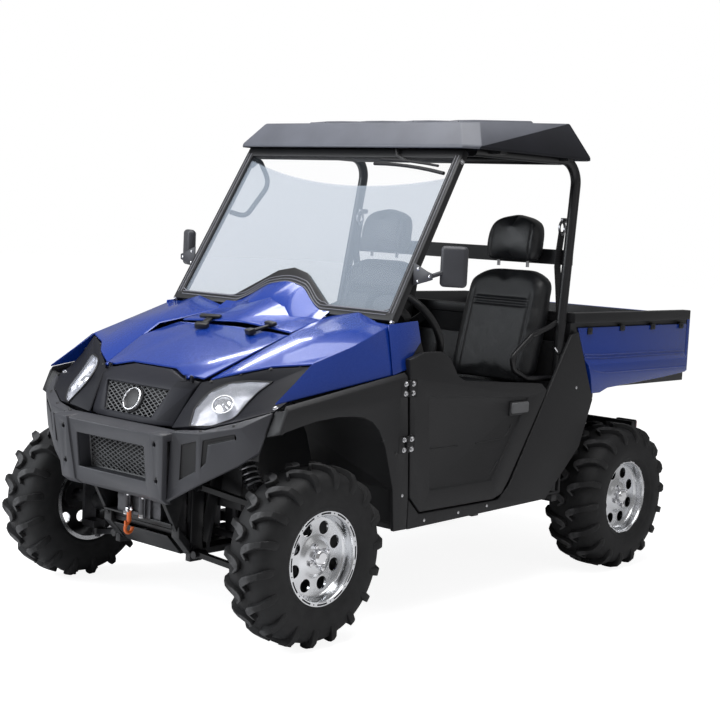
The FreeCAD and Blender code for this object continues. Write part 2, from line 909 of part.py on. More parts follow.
def bed_pivot_pin():
    reach = deck_rail_gauge + rail_size / 2 + bed_lug_width + 2 * swing_gap
    pin = rod(V(-reach, along(bed_pivot_y), bed_pivot_z), V(reach, along(bed_pivot_y), bed_pivot_z),
              bed_pivot_radius)
    half = rail_size / 2
    posts = []
    for sign in (-1, 1):
        x = sign * deck_rail_gauge
        posts.append(slab((x - half, x + half), (along(bed_pivot_y) - half, along(bed_pivot_y) + half),
                          (deck_rail_z, bed_pivot_z)))
    return [pin] + posts


def skid():
    """Belly plate that follows the rails up at its front."""
    y = along(-rail_front_y)
    bottom = rail_z - rail_size / 2
    outline = rail_outline(y, y + skid_length, bottom - skid_thickness, bottom)
    return plate_x(outline, -skid_half_width, skid_half_width)


def power_train():
    wide, long, high = engine_size
    save("engine_block", slab((-wide / 2, wide / 2), (along(engine_y), along(engine_y + long)),
                              (engine_z, engine_z + high)))
    half = drive_length / 2
    drives = [slab((-shaft_inner_x, shaft_inner_x), (along(y) - half, along(y) + half),
                   (engine_z - drive_height, engine_z)) for y in (0, wheelbase)]
    save("final_drives", Part.makeCompound(drives))
    start = V(-muffler_length / 2, along(muffler_y), muffler_z)
    save("muffler", rod(start, start + V(muffler_length, 0, 0), muffler_radius))


def floor_and_seats():
    t = floor_thickness
    y0 = along(floor_front_y)
    y1 = along(floor_rear_y)
    reach = half_width - panel_thickness
    toe = along(toe_front_y)
    outline = [(toe, floor_z + toe_rise), (y0, floor_z), (y1, floor_z), (y1, bulkhead_top),
               (y1 - bulkhead_thickness, bulkhead_top), (y1 - bulkhead_thickness, floor_z + t),
               (y0 + t, floor_z + t), (toe + t, floor_z + toe_rise)]
    save("floor_pan", plate_x(outline, -reach, reach))
    low = floor_z + t
    block = slab((-platform_half_width, platform_half_width),
                 (along(platform_front_y), along(platform_rear_y)), (low, platform_top))
    inner = slab((-platform_half_width + platform_wall, platform_half_width - platform_wall),
                 (along(platform_front_y) + platform_wall, along(platform_rear_y) - platform_wall),
                 (low - overrun, platform_top - platform_wall))
    console = slab((-console_width / 2, console_width / 2),
                   (along(platform_front_y), along(platform_front_y + console_length)),
                   (platform_top, platform_top + console_height / 2))
    lever_foot = V(0, along(platform_front_y) + console_width, platform_top)
    lever_top = lever_foot + V(0, -console_width / 3, lever_height)
    lever = rod(lever_foot, lever_top, lever_radius)
    knob = Part.makeCylinder(knob_radius, knob_radius * 2, lever_top, lever_top - lever_foot)
    save("seat_platform", joined([block.cut(inner), console, lever, knob]))
    seats()


def seats():
    half = cushion_width / 2
    low = platform_top + seat_gap
    front = along(cushion_front_y)
    soft = cushion_height / 4
    sections = []
    for inset, z in ((soft / 2, low), (0, low + soft), (0, low + cushion_height - soft),
                     (soft, low + cushion_height)):
        sections.append(rounded_rectangle(cushion_centre_x, front + cushion_length / 2, half - inset,
                                          cushion_length / 2 - inset, 2 * soft, z))
    save("seat_cushions", pair(skin(sections)))
    back_sections = []
    for share, inset in ((0.0, 0.12), (0.1, 0.02), (0.55, 0.0), (0.9, 0.06), (1.0, 0.22)):
        z = back_foot_z + share * back_height
        y = along(back_foot_y) + share * back_lean
        depth = back_thickness * (1 - inset)
        back_sections.append(rounded_rectangle(cushion_centre_x, y, half * (1 - inset), depth / 2,
                                               depth / 3, z))
    save("seat_backs", pair(skin(back_sections)))
    head_sections = []
    for share, inset in ((0.0, 0.14), (0.15, 0.0), (0.85, 0.0), (1.0, 0.14)):
        z = headrest_z + share * headrest_height
        y = along(headrest_y) + headrest_depth / 2 + share * soft
        head_sections.append(rounded_rectangle(cushion_centre_x, y, headrest_width / 2 * (1 - inset),
                                               headrest_depth / 2 * (1 - inset), headrest_depth / 3, z))
    save("headrests", pair(skin(head_sections)))
    posts = []
    for sign in (-1, 1):
        x = cushion_centre_x + sign * post_spacing / 2
        y = along(headrest_y) + headrest_depth / 2
        posts.append(rod(V(x, y, back_foot_z + back_height + seat_gap), V(x, y, headrest_z - seat_gap),
                         post_radius))
    save("headrest_posts", Part.makeCompound(posts + [mirrored(p) for p in posts]))


def rounded_rectangle(x, y, half_x, half_y, corner, z):
    """Closed level outline with three points in each corner."""
    cut = corner * 0.3
    quarter = [(half_x, half_y - corner), (half_x - cut, half_y - cut), (half_x - corner, half_y)]
    points = quarter + [(-a, b) for a, b in reversed(quarter)]
    points += [(-a, -b) for a, b in quarter] + [(a, -b) for a, b in reversed(quarter)]
    return [V(x + a, y + b, z) for a, b in points]


def dashboard():
    y = along(dash_front_y)
    toe = along(toe_front_y)
    toe_top = floor_z + toe_rise
    outline = [(toe + floor_thickness, toe_top), (toe, toe_top), (toe, toe_top + dash_front_rise),
               (y, dash_top_z - dash_wall), (y + dash_depth * 0.35, dash_top_z),
               (y + dash_depth * 0.8, dash_top_z - dash_depth * 0.12), (y + dash_depth,
                                                                        dash_base_z + dash_depth * 0.45),
               (y + dash_depth * 0.85, dash_base_z)]
    body = plate_x(outline, -dash_half_width, dash_half_width)
    axis = column_axis()
    centre = V(cushion_centre_x, along(wheel_centre_y), wheel_centre_z)
    start = centre - axis * (spoke_thickness + seat_gap)
    column = rod(start, start - axis * column_length, column_radius)
    save("dashboard", joined([body, column]))
    save("steering_wheel", steering_wheel(centre, axis))


def column_axis():
    lean = math.radians(steer_lean_degrees)
    return V(0, math.cos(lean), math.sin(lean))


def steering_wheel(centre, axis):
    ring = Part.makeTorus(steer_ring_radius, steer_tube, centre, axis)
    parts = [ring, Part.makeCylinder(hub_disc_radius, 1.5 * spoke_thickness,
                                     centre - axis * spoke_thickness, axis)]
    across = V(1, 0, 0)
    up = axis.cross(across)
    for i in range(steer_spokes):
        turn = math.pi * (0.5 + 2 * i / steer_spokes)
        way = across * math.cos(turn) + up * math.sin(turn)
        side = axis.cross(way) * (spoke_width / 2)
        low = centre - axis * (spoke_thickness / 2)
        bar = prism([low - side, low + side, low + side + axis * spoke_thickness * 0.8,
                     low - side + axis * spoke_thickness * 0.8], way * steer_ring_radius)
        parts.append(bar)
    return joined(parts)


def cage():
    """Two side hoops over the cabin, tied by bars behind the seats."""
    base = V(post_base_x, along(post_base_y), post_base_z)
    top = V(post_top_x, along(post_top_y), roof_rail_z)
    front = V(screen_half_top - cage_tube, along(screen_base_y + screen_run) + 3 * cage_tube, roof_rail_z)
    foot = V(post_base_x, along(post_base_y), floor_z + floor_thickness)
    hoop = bent_tube([foot, base, top, front], cage_tube, cage_bend)
    parts = [hoop, mirrored(hoop)]
    for y in (front.y + 2 * cage_tube, top.y - cage_bend):
        parts.append(rod(V(-front.x, y, roof_rail_z), V(front.x, y, roof_rail_z), cage_tube))
    inner = roof_half_width - roof_wall
    for y in (front.y + cage_bend, top.y - 1.5 * cage_bend):
        for sign in (-1, 1):
            low, high = sorted((sign * front.x, sign * inner))
            parts.append(slab((low, high), (y - cage_tube, y + cage_tube),
                              (roof_rail_z - roof_pad / 2, roof_rail_z + roof_pad / 2)))
    reach = post_top_x + cage_tube
    parts.append(slab((-reach, reach),
                      (along(bar_y) - bar_thickness / 2, along(bar_y) + bar_thickness / 2), (bar_z,
                                                                                             bar_z + bar_height)))
    loop = hip_loop()
    save("roll_cage", joined(parts + [loop, mirrored(loop)]))


def hip_loop():
    """Bent tube beside the seat, from the post forward and back to it."""
    x = half_width - hip_inset
    foot = V(x, along(post_base_y), hip_low_z)
    start = V(x, along(post_base_y), hip_low_z + hip_height)
    y0 = post_base_y - hip_length
    bends = [V(x, y, z) for y, z in in_box(hip_shares, y0, hip_low_z, hip_length, hip_height)]
    return bent_tube([start] + bends + [foot], hip_tube, hip_bend)


def screen_normal():
    length = math.hypot(screen_run, screen_rise)
    return V(0, -screen_rise / length, screen_run / length)


def screen_point(across, up_share, out):
    """Point in the windshield's sloping plane, or beside it by the last value."""
    foot = V(across, along(screen_base_y) + up_share * screen_run, screen_base_z + up_share * screen_rise)
    return foot + screen_normal() * out


def windshield():
    outer_shares = ((-1, 0), (-1, 1), (1, 1), (1, 0), (0.42, 0.0), (0.28, 0.065), (0.13, 0.135), (0, 0.158),
                    (-0.13, 0.135), (-0.28, 0.065), (-0.42, 0.0))
    inner_shares = ((-1, 0.05), (-1, 0.945), (1, 0.945), (1, 0.05), (0.46, 0.055), (0.30, 0.14),
                    (0.14, 0.225),
                    (0, 0.25), (-0.14, 0.225), (-0.30, 0.14), (-0.46, 0.055))

    def outline(shares, inset):
        points = []
        for a, b in shares:
            half = screen_half_base + b * (screen_half_top - screen_half_base) - inset
            points.append(screen_point(a * half, b, -screen_depth / 2))
        return points

    normal = screen_normal()
    outer = prism(outline(outer_shares, 0), normal * screen_depth)
    window = prism([p - normal * overrun for p in outline(inner_shares, screen_bar)],
                   normal * (screen_depth + 2 * overrun))
    frame = outer.cut(window)
    save("windshield_frame", frame)
    middle = normal * (screen_depth / 2)
    save("windshield_glass", prism([p + middle for p in outline(inner_shares, screen_bar)],
                                   normal * glass_thickness))


def roof():
    y0 = along(roof_front_y)
    y1 = y0 + roof_length

    def ring(inset, y_front, y_rear, z_front, z_rear):
        half = roof_half_width - inset
        corner = 1.2 * roof_lip
        plan = [(-half, y_front + corner), (-half + corner, y_front), (half - corner, y_front),
                (half, y_front + corner),
                (half, y_rear - corner), (half - corner, y_rear), (-half + corner, y_rear), (-half,
                                                                                             y_rear - corner)]
        points = []
        for x, y in plan:
            share = (y - y_front) / (y_rear - y_front)
            points.append(V(x, y, z_front + share * (z_rear - z_front)))
        return points

    z_low = roof_z - roof_lip
    front_top = roof_z + roof_height * roof_front_share
    rear_top = roof_z + roof_height

    def shell(inset, drop, low):
        return skin([ring(inset, y0 + inset, y1 - inset, low, low),
                     ring(inset, y0 + inset, y1 - inset, roof_z, roof_z),
                     ring(roof_inset + inset / 2, y0 + roof_inset + inset, y1 - roof_inset - inset,
                          front_top - drop, rear_top - drop)])

    body = shell(0, 0, z_low).cut(shell(roof_wall, roof_wall, z_low - overrun))
    ribs = []
    for share in (-0.62, -0.22, 0.22, 0.62):
        x = share * (roof_half_width - roof_inset)
        half = rib_width
        rows = []
        for y_share, inset in ((0.2, 0.6), (0.35, 0.0), (0.9, 0.0)):
            y = y0 + roof_inset + y_share * (roof_length - 2 * roof_inset)
            z = front_top + y_share * (rear_top - front_top)
            rise = rib_height * (1 - inset)
            rows.append([V(x - half, y, z - roof_wall / 2), V(x + half, y, z - roof_wall / 2),
                         V(x + 0.8 * half, y, z + rise), V(x - 0.8 * half, y, z + rise)])
        ribs.append(skin(rows))
    save("roof", body.multiFuse(ribs).removeSplitter())


def mirrors():
    y = along(mirror_y)
    sections = []
    for share, inset in ((0, 0.25), (0.5, 0.0), (1, 0.0)):
        half_x = mirror_width / 2 * (1 - inset)
        half_z = mirror_height / 2 * (1 - inset)
        cut = mirror_width / 6
        yy = y - mirror_depth / 2 + share * mirror_depth
        plan = [(half_x - cut, -half_z), (half_x, -half_z + cut), (half_x, half_z - cut),
                (half_x - cut, half_z),
                (-half_x + cut, half_z), (-half_x, half_z - cut), (-half_x, -half_z + cut), (-half_x + cut,
                                                                                             -half_z)]
        sections.append([V(mirror_x + a, yy, mirror_z + b) for a, b in plan])
    head = skin(sections)
    share = (mirror_z - screen_base_z) / screen_rise
    start = screen_point(screen_half_base - screen_bar / 2, share,
                         -screen_depth / 2 - seat_gap - mirror_arm_radius)
    arm = rod(start, V(mirror_x, y, mirror_z), mirror_arm_radius)
    save("mirrors", pair(joined([head, arm])))


def doors():
    outline = in_box(door_shares, door_front_y, door_z, door_length, door_height)
    skin_x = half_width
    body = plate_x(outline, skin_x - door_thickness, skin_x)
    recess = in_box(door_recess_shares, door_front_y, door_z, door_length, door_height)
    body = body.cut(plate_x(recess, skin_x - door_recess, skin_x + overrun))
    inner = plate_x(recess, skin_x - door_thickness - overrun, skin_x - door_thickness + door_recess)
    body = body.cut(inner)
    pocket = slab((skin_x - 2 * door_recess, skin_x + overrun),
                  (along(handle_y), along(handle_y) + handle_length),
                  (handle_z, handle_z + handle_height))
    paddle = slab((skin_x - 2 * door_recess, skin_x - door_recess / 2),
                  (along(handle_y) + door_recess, along(handle_y) + handle_length - door_recess),
                  (handle_z + door_recess, handle_z + handle_height - door_recess))
    leaves = []
    barrel_x = skin_x + hinge_radius
    for z in hinge_z:
        y = along(door_front_y)
        leaf_front = y + hinge_radius + hinge_gap
        low, high = z + hinge_height / 3 + hinge_gap, z + 2 * hinge_height / 3 - hinge_gap
        leaves.append(slab((skin_x, skin_x + hinge_leaf_thickness), (leaf_front, leaf_front + hinge_leaf),
                           (z, z + hinge_height)))
        leaves.append(slab((skin_x, skin_x + hinge_leaf_thickness), (y, leaf_front), (low, high)))
        leaves.append(rod(V(barrel_x, y, low), V(barrel_x, y, high), hinge_radius))
    left = joined([body.cut(pocket), paddle] + leaves)
    save("door_left", left)
    save("door_right", mirrored(left))


def side_panels():
    outline = in_box(panel_shares, panel_front_y, panel_z, panel_length, panel_height)
    body = plate_x(outline, half_width - panel_thickness, half_width)
    save("side_panels", pair(body))


def fenders():
    shares = fender_top_shares + fender_arch_shares
    outline = in_box(shares, fender_front_y, fender_z, fender_length, fender_height)
    beveled = [(y, z - (fender_bevel if i in (1, 2, 3) else 0)) for i, (y, z) in enumerate(outline)]
    side = skin([[V(half_width - fender_skin, y, z) for y, z in outline],
                 [V(half_width, y, z) for y, z in beveled]])
    (low_y, low_z), (top_y, top_z) = beveled[0], beveled[1]
    inner = half_width - fender_nose_inset
    fall = fender_bevel * (top_y - low_y) / (top_z - low_z)
    tab = face([V(inner, low_y - fall, low_z - fender_bevel), V(half_width, low_y, low_z),
                V(half_width, top_y, top_z),
                V(inner, top_y - fall / 2, top_z - fender_bevel / 2)]).extrude(V(0, fender_skin, 0))
    arch = in_box(fender_arch_shares[1:], fender_front_y, fender_z, fender_length, fender_height)
    t = liner_thickness
    liner_outline = arch + [(y + t, z + t) for y, z in reversed(arch)]
    liner = plate_x(liner_outline, liner_inner_x, half_width - fender_skin / 2)
    leaves = []
    barrel_x = half_width + hinge_radius
    y = along(door_front_y)
    for z in hinge_z:
        leaf_rear = y - hinge_radius - hinge_gap
        leaves.append(slab((half_width, half_width + hinge_leaf_thickness),
                           (leaf_rear - hinge_leaf, leaf_rear), (z, z + hinge_height)))
        for low, high in ((z, z + hinge_height / 3), (z + 2 * hinge_height / 3, z + hinge_height)):
            leaves.append(rod(V(barrel_x, y, low), V(barrel_x, y, high), hinge_radius))
            leaves.append(slab((half_width, half_width + hinge_leaf_thickness), (leaf_rear, y),
                               (low, high)))
    left = joined([side, tab, liner] + leaves)
    save("front_fenders", pair(left))


def bed():
    y0 = along(bed_front_y)
    y1 = y0 + bed_length - tailgate_thickness - swing_gap
    half = bed_half_width
    floor = slab((-half, half), (y0, y1), (bed_floor_z, bed_floor_z + bed_floor_thickness))
    outer = slab((-half, half), (y0, y1), (bed_floor_z, bed_top_z))
    inner = slab((-half + bed_wall, half - bed_wall), (y0 + bed_wall, y1 + overrun),
                 (bed_floor_z + bed_floor_thickness, bed_top_z + overrun))
    rail_low = bed_top_z
    rails = slab((-half - bed_rail_overhang, half + bed_rail_overhang), (y0 - seat_gap, y1),
                 (rail_low, rail_low + bed_rail_height))
    rail_void = slab((-half + bed_wall, half - bed_wall), (y0 + bed_wall, y1 + overrun),
                     (rail_low - overrun, rail_low + bed_rail_height + overrun))
    lugs = []
    for sign in (-1, 1):
        x = sign * (deck_rail_gauge + rail_size / 2 + swing_gap + bed_lug_width / 2)
        plate = slab((x - bed_lug_width / 2, x + bed_lug_width / 2),
                     (along(bed_pivot_y) - bed_lug_height, along(bed_pivot_y) + bed_lug_height),
                     (bed_pivot_z - 2 * bed_pivot_radius, bed_floor_z))
        bore = rod(V(x - bed_lug_width, along(bed_pivot_y), bed_pivot_z),
                   V(x + bed_lug_width, along(bed_pivot_y), bed_pivot_z),
                   bed_pivot_radius + bed_pivot_gap)
        lugs.append(plate.cut(bore))
    knuckles = []
    axis_y = y1 + swing_gap
    for sign in (-1, 1):
        x0 = sign * tailgate_hinge_x - tailgate_hinge_width / 2
        x1 = x0 + tailgate_hinge_width
        knuckles.append(rod(V(x0, axis_y, tailgate_hinge_z), V(x1, axis_y, tailgate_hinge_z),
                            tailgate_hinge_radius))
        knuckles.append(slab((x0, x1), (y1 - 2 * swing_gap, y1),
                             (bed_floor_z, tailgate_hinge_z + tailgate_hinge_radius)))
    tub = joined([floor, outer.cut(inner), rails.cut(rail_void)] + lugs + knuckles)
    save("bed_tub", tub)
    save("bed_sides", pair(bed_skin()))
    save("tailgate", tailgate(y1 + swing_gap))


def bed_skin():
    """Side panel of the bed with its proud lower ridge and wheel arch."""
    x = bed_half_width + seat_gap
    t = skin_thickness
    profile = [(x, skin_base_z + 2 * t), (x + t, skin_base_z + 2 * t),
               (x + skin_ridge_out, skin_ridge_z - 5 * t),
               (x + skin_ridge_out, skin_ridge_z), (x + t, skin_ridge_z + 2 * t), (x + t, skin_top_z), (x,
                                                                                                        skin_top_z)]
    y0 = along(skin_front_y)
    body = prism([V(a, y0, b) for a, b in profile], V(0, skin_rear_y - skin_front_y, 0))
    length = skin_rear_y - skin_front_y
    low = skin_base_z - overrun
    arch = [(y0 - overrun, low), (y0 - overrun, skin_top_z), (y0, skin_top_z),
            (y0 + skin_front_rake, skin_base_z),
            (y0 + arch_front_share * length * 1.3, skin_base_z + 4 * t),
            (y0 + 0.5 * length, skin_base_z + 5.5 * t), (y0 + arch_rear_share * length,
                                                         skin_base_z + 7 * t),
            (y0 + length + overrun, skin_base_z + 9 * t), (y0 + length + overrun, low)]
    return body.cut(plate_x(arch, x - overrun, x + skin_ridge_out + overrun))


def tailgate(y):
    half = bed_half_width - seat_gap
    body = slab((-half, half), (y, y + tailgate_thickness),
                (tailgate_hinge_z, bed_top_z + bed_rail_height / 2))
    recess = slab((-half + 3 * tailgate_thickness, half - 3 * tailgate_thickness),
                  (y + 0.8 * tailgate_thickness, y + tailgate_thickness + overrun),
                  (tailgate_hinge_z + 2 * tailgate_thickness, bed_top_z - 2 * tailgate_thickness))
    barrels = []
    notches = []
    for sign in (-1, 1):
        x0 = sign * tailgate_hinge_x - tailgate_hinge_width / 2 - hinge_gap
        x1 = x0 + tailgate_hinge_width + 2 * hinge_gap
        notches.append(rod(V(x0, y, tailgate_hinge_z), V(x1, y, tailgate_hinge_z),
                           tailgate_hinge_radius + hinge_gap))
        for start, end in ((x0 - tailgate_hinge_width, x0), (x1, x1 + tailgate_hinge_width)):
            barrels.append(rod(V(start, y, tailgate_hinge_z), V(end, y, tailgate_hinge_z),
                               tailgate_hinge_radius))
    return joined([body.cut([recess] + notches)] + barrels)


def hood():
    """Faceted blue panels: the opening lid and the cowl round it."""
    save("hood_lid", hood_lid())
    save("front_cowl", front_cowl())


def grid_sheet(rows, drop):
    """Thick sheet between a grid of points and the same grid moved by the drop."""
    faces = []
    count = len(rows[0])
    for low, high in zip(rows, rows[1:]):
        for i in range(count - 1):
            for lift in (V(0, 0, 0), drop):
                faces += facets([low[i] + lift, low[i + 1] + lift, high[i + 1] + lift, high[i] + lift])
    edge = rows[0] + [row[-1] for row in rows[1:-1]] + rows[-1][::-1] + [row[0] for row in rows[1:-1]][::-1]
    for i in range(len(edge)):
        faces += facets([edge[i - 1], edge[i], edge[i] + drop, edge[i - 1] + drop])
    return solid_of(faces)


def scaled_row(shares, half, y, length, z, height):
    return [V(a * half, along(y) + b * length, z + c * height) for a, b, c in shares]


def both_sides(row):
    return [V(-p.x, p.y, p.z) for p in reversed(row) if p.x > 0] + row


lid_row_shares = (
    ((0, 0.09, 0.09), (0.40, 0.09, 0.09), (0.62, 0.03, -0.03), (0.905, 0.085, -0.09)),
    ((0, 0.60, 0.62), (0.40, 0.60, 0.62), (0.70, 0.58, 0.62), (1.06, 0.55, 0.66)),
    ((0, 1.0, 1.10), (0.40, 0.985, 1.08), (0.74, 0.97, 1.06), (1.0, 0.95, 1.05)))


def hood_lid():
    rows = [both_sides(scaled_row(s, lid_half_width, lid_front_y, lid_length, lid_base_z, lid_rise)) for s
            in lid_row_shares]
    parts = [grid_sheet(rows, V(0, 0, -hood_skin))]
    y, z = along(lid_hinge_y), lid_hinge_z
    for sign in (-1, 1):
        x0, x1 = sorted((sign * lid_tab_x, sign * (lid_tab_x + lid_tab_width)))
        tab = slab((x0, x1), (y, y + lid_tab_length), (z - lid_barrel_radius, z + lid_barrel_radius / 2))
        tab = tab.fuse(rod(V(x0, y, z), V(x1, y, z), lid_barrel_radius))
        parts.append(tab.cut(rod(V(x0 - overrun, y, z), V(x1 + overrun, y, z),
                                 lid_pin_radius + kingpin_gap)))
    return joined(parts)


def lid_ears():
    """Two pairs of ears on the nose with the pins that the lid turns on."""
    y, z = along(lid_hinge_y), lid_hinge_z
    parts = []
    for sign in (-1, 1):
        near = lid_tab_x - 2 * hinge_gap
        far = lid_tab_x + lid_tab_width + 2 * hinge_gap
        for a, b in ((near - lid_ear_width, near), (far, far + lid_ear_width)):
            x0, x1 = sorted((sign * a, sign * b))
            parts.append(slab((x0, x1),
                              (y - lid_barrel_radius - hinge_gap, y + lid_barrel_radius + hinge_gap),
                              (z + lid_barrel_radius - lid_ear_height, z + lid_barrel_radius)))
        parts.append(rod(V(sign * (near - lid_ear_width), y, z), V(sign * (far + lid_ear_width), y, z),
                         lid_pin_radius))
    return parts


cowl_row_shares = (
    ((0.435, 0.05, 0.14), (0.60, 0.115, 0.235), (0.725, 0.205, 0.305), (0.925, 0.29, 0.355),
     (0.954, 0.03, 0.02)),
    ((0.52, 0.44, 0.515), (0.569, 0.44, 0.53), (0.79, 0.42, 0.50), (0.943, 0.52, 0.485),
     (0.966, 0.45, 0.13)),
    ((0.42, 0.815, 0.69), (0.674, 0.8318, 0.78), (0.83, 0.825, 0.70), (0.928, 0.825, 0.69),
     (0.974, 0.865, 0.235)))
bulge_row_shares = (
    ((0, 0.59, 0.60), (0.05, 0.59, 0.60), (0.20, 0.585, 0.585), (0.46, 0.55, 0.56)),
    ((0, 0.885, 0.94), (0.20, 0.865, 0.85), (0.33, 0.83, 0.71), (0.42, 0.815, 0.69)))


def front_cowl():
    sides = []
    for sign in (1, -1):
        rows = [scaled_row(s, cowl_width, cowl_front_y, cowl_length, cowl_base_z,
                           cowl_height) for s in cowl_row_shares]
        rows = [[V(sign * p.x, p.y, p.z) for p in row] for row in rows]
        sides.append(grid_sheet(rows, V(0, 0, -1.5 * hood_skin)))
    bulge = [both_sides(scaled_row(s, cowl_width, cowl_front_y, cowl_length, cowl_base_z, cowl_height))
             for s in bulge_row_shares]
    return joined(sides + [grid_sheet(bulge, V(0, 0, -1.5 * hood_skin))])


nose_section_shares = (
    (0.38, ((0, 0), (1, 0), (0.97, 0.10), (0.695, 0.715), (0.573, 0.86), (0.376, 1), (0, 0.876))),
    (0.714, ((0, 0), (0.964, 0), (0.94, 0.10), (0.685, 0.715), (0.594, 0.817), (0.528, 0.892), (0, 0.838))),
    (1, ((0, 0), (0.822, 0), (0.802, 0.10), (0.508, 0.70), (0.431, 0.806), (0.396, 0.85), (0, 0.80))))
nose_side_shares = (0.86, 0.86, 0.87, 0.96, 1, 1, 1)


def nose_section(across, outline, sign, shrink):
    points = []
    for side, (a, b) in zip(nose_side_shares, outline):
        x = sign * (across * nose_half_width * side - (shrink if across == 1 else 0))
        y = along(nose_front_y + nose_depth * (1 - a)) + (shrink if a > 0 else overrun
                                                          * (1 if shrink else 0))
        z = nose_z + b * nose_height - (shrink if b > 0.5 else 0)
        if b == 0 and shrink:
            z -= overrun
        points.append(V(x, y, z))
    return points


def nose():
    """Centre block over the upper grille, open below and behind."""
    def block(shrink):
        left = [nose_section(across, outline, 1, shrink) for across, outline in nose_section_shares]
        right = [nose_section(across, outline, -1, shrink) for across,
                 outline in reversed(nose_section_shares)]
        return skin(right + left)

    low, high = nose_window_half_low, nose_window_half_top
    z0, z1 = nose_window_z, nose_window_z + nose_window_height
    y = along(nose_front_y - overrun)
    window = prism([V(-low, y, z0), V(low, y, z0), V(high, y, z1), V(-high, y, z1)],
                   V(0, nose_depth / 2 + overrun, 0))
    shell = block(0).cut(block(nose_skin)).cut(window)
    return joined([shell] + lid_ears())


bezel_shares = ((-0.093, 0.08, 0), (-0.05, 0.209, 0.305), (0.012, 0.375, 0.661), (0.36, 0.606, 0.816),
                (0.598, 0.797, 0.925), (0.957, 0.997, 1), (0.963, 0.83, 0.711), (0.957, 0.646, 0.50),
                (0.945, 0.49, 0.39), (0.688, 0.215, 0.222), (0.391, 0.068, 0.084))
lamp_shares = ((0, 0), (-0.016, 0.333), (0.123, 0.692), (0.376, 0.907), (0.689, 0.98), (0.985, 0.998),
               (0.84, 0.80),
               (0.722, 0.54), (0.616, 0.257), (0.474, 0.137), (0.283, 0.028))


def lamp_frame():
    """Foot, across, up and outward directions of the lamp's sloping plane."""
    turn = math.radians(lamp_turn_degrees)
    lean = math.radians(lamp_lean_degrees)
    across = V(math.cos(turn), math.sin(turn), 0)
    back = V(-math.sin(turn), math.cos(turn), 0)
    up = back * math.cos(lean) + V(0, 0, math.sin(lean))
    return V(lamp_foot_x, along(lamp_foot_y), lamp_foot_z), across, up, across.cross(up)


def lamp_outline(shrink, out):
    foot, across, up, normal = lamp_frame()
    middle_a, middle_b = 0.45, 0.52
    points = []
    for a, b in lamp_shares:
        a = middle_a + (a - middle_a) * shrink
        b = middle_b + (b - middle_b) * shrink
        points.append(foot + across * (a * lamp_width) + up * (b * lamp_height) + normal * out)
    return points


def bezel():
    """Sloping panel round the headlamp's opening."""
    normal = lamp_frame()[3]
    drop = normal * -bezel_thickness
    outer = [V(bezel_x + a * bezel_width, along(bezel_y + b * bezel_length), nose_z + c * bezel_height)
             for a, b, c in bezel_shares]
    inner = lamp_outline(1, 0)
    faces = []
    for i in range(len(outer)):
        for lift in (V(0, 0, 0), drop):
            faces += facets([outer[i - 1] + lift, outer[i] + lift, inner[i] + lift, inner[i - 1] + lift])
        for loop in (outer, inner):
            faces += facets([loop[i - 1], loop[i], loop[i] + drop, loop[i - 1] + drop])
    return solid_of(faces)


def headlamp():
    return skin([lamp_outline(0.8, -lamp_depth), lamp_outline(1, -bezel_thickness), lamp_outline(1, 0),
                 lamp_outline(0.82, 0.7 * lamp_crown), lamp_outline(0.5, lamp_crown)])


def mesh_panel(half_low, half_high, height):
    """Level-backed grille plate with rows of diamond openings, its face on the XZ plane."""
    plate = prism([V(-half_low, 0, 0), V(half_low, 0, 0), V(half_high, 0, height),
                   V(-half_high, 0, height)],
                  V(0, grille_thickness, 0))
    across = grille_pitch / 2 - grille_bar * 0.7
    tall = grille_pitch / 3 - grille_bar * 0.7
    columns = int(2 * half_high / grille_pitch) + 2
    rows = int(height / (grille_pitch / 3)) + 2
    holes = []
    for row in range(rows):
        z = (row - 0.5) * grille_pitch / 3
        half = half_low + (half_high - half_low) * z / height - across - 2 * grille_bar
        if z - tall < 2 * grille_bar or z + tall > height - 2 * grille_bar:
            continue
        for column in range(-columns, columns + 1):
            x = (column + 0.5 * (row % 2)) * grille_pitch
            if abs(x) > half:
                continue
            ring = [V(x - across, -overrun, z), V(x, -overrun, z - tall), V(x + across, -overrun, z),
                    V(x, -overrun, z + tall)]
            holes.append(prism(ring, V(0, grille_thickness + 2 * overrun, 0)))
    return plate.cut(holes)


def set_back(shape, y_low, z_low, y_high, z_high, height):
    """Lean a flat upright panel so that it runs between two places."""
    run = math.degrees(math.atan2(y_high - y_low, z_high - z_low))
    shape.rotate(V(0, 0, 0), V(1, 0, 0), -run)
    shape.translate(V(0, along(y_low), z_low))
    return shape


def nose_face_y(z):
    """Place of the nose's sloping face at a height, from the front axle."""
    outline = nose_section_shares[0][1]
    low, high = outline[2], outline[3]
    share = ((z - nose_z) / nose_height - low[1]) / (high[1] - low[1])
    reach = low[0] + share * (high[0] - low[0])
    return nose_front_y + nose_depth * (1 - reach)


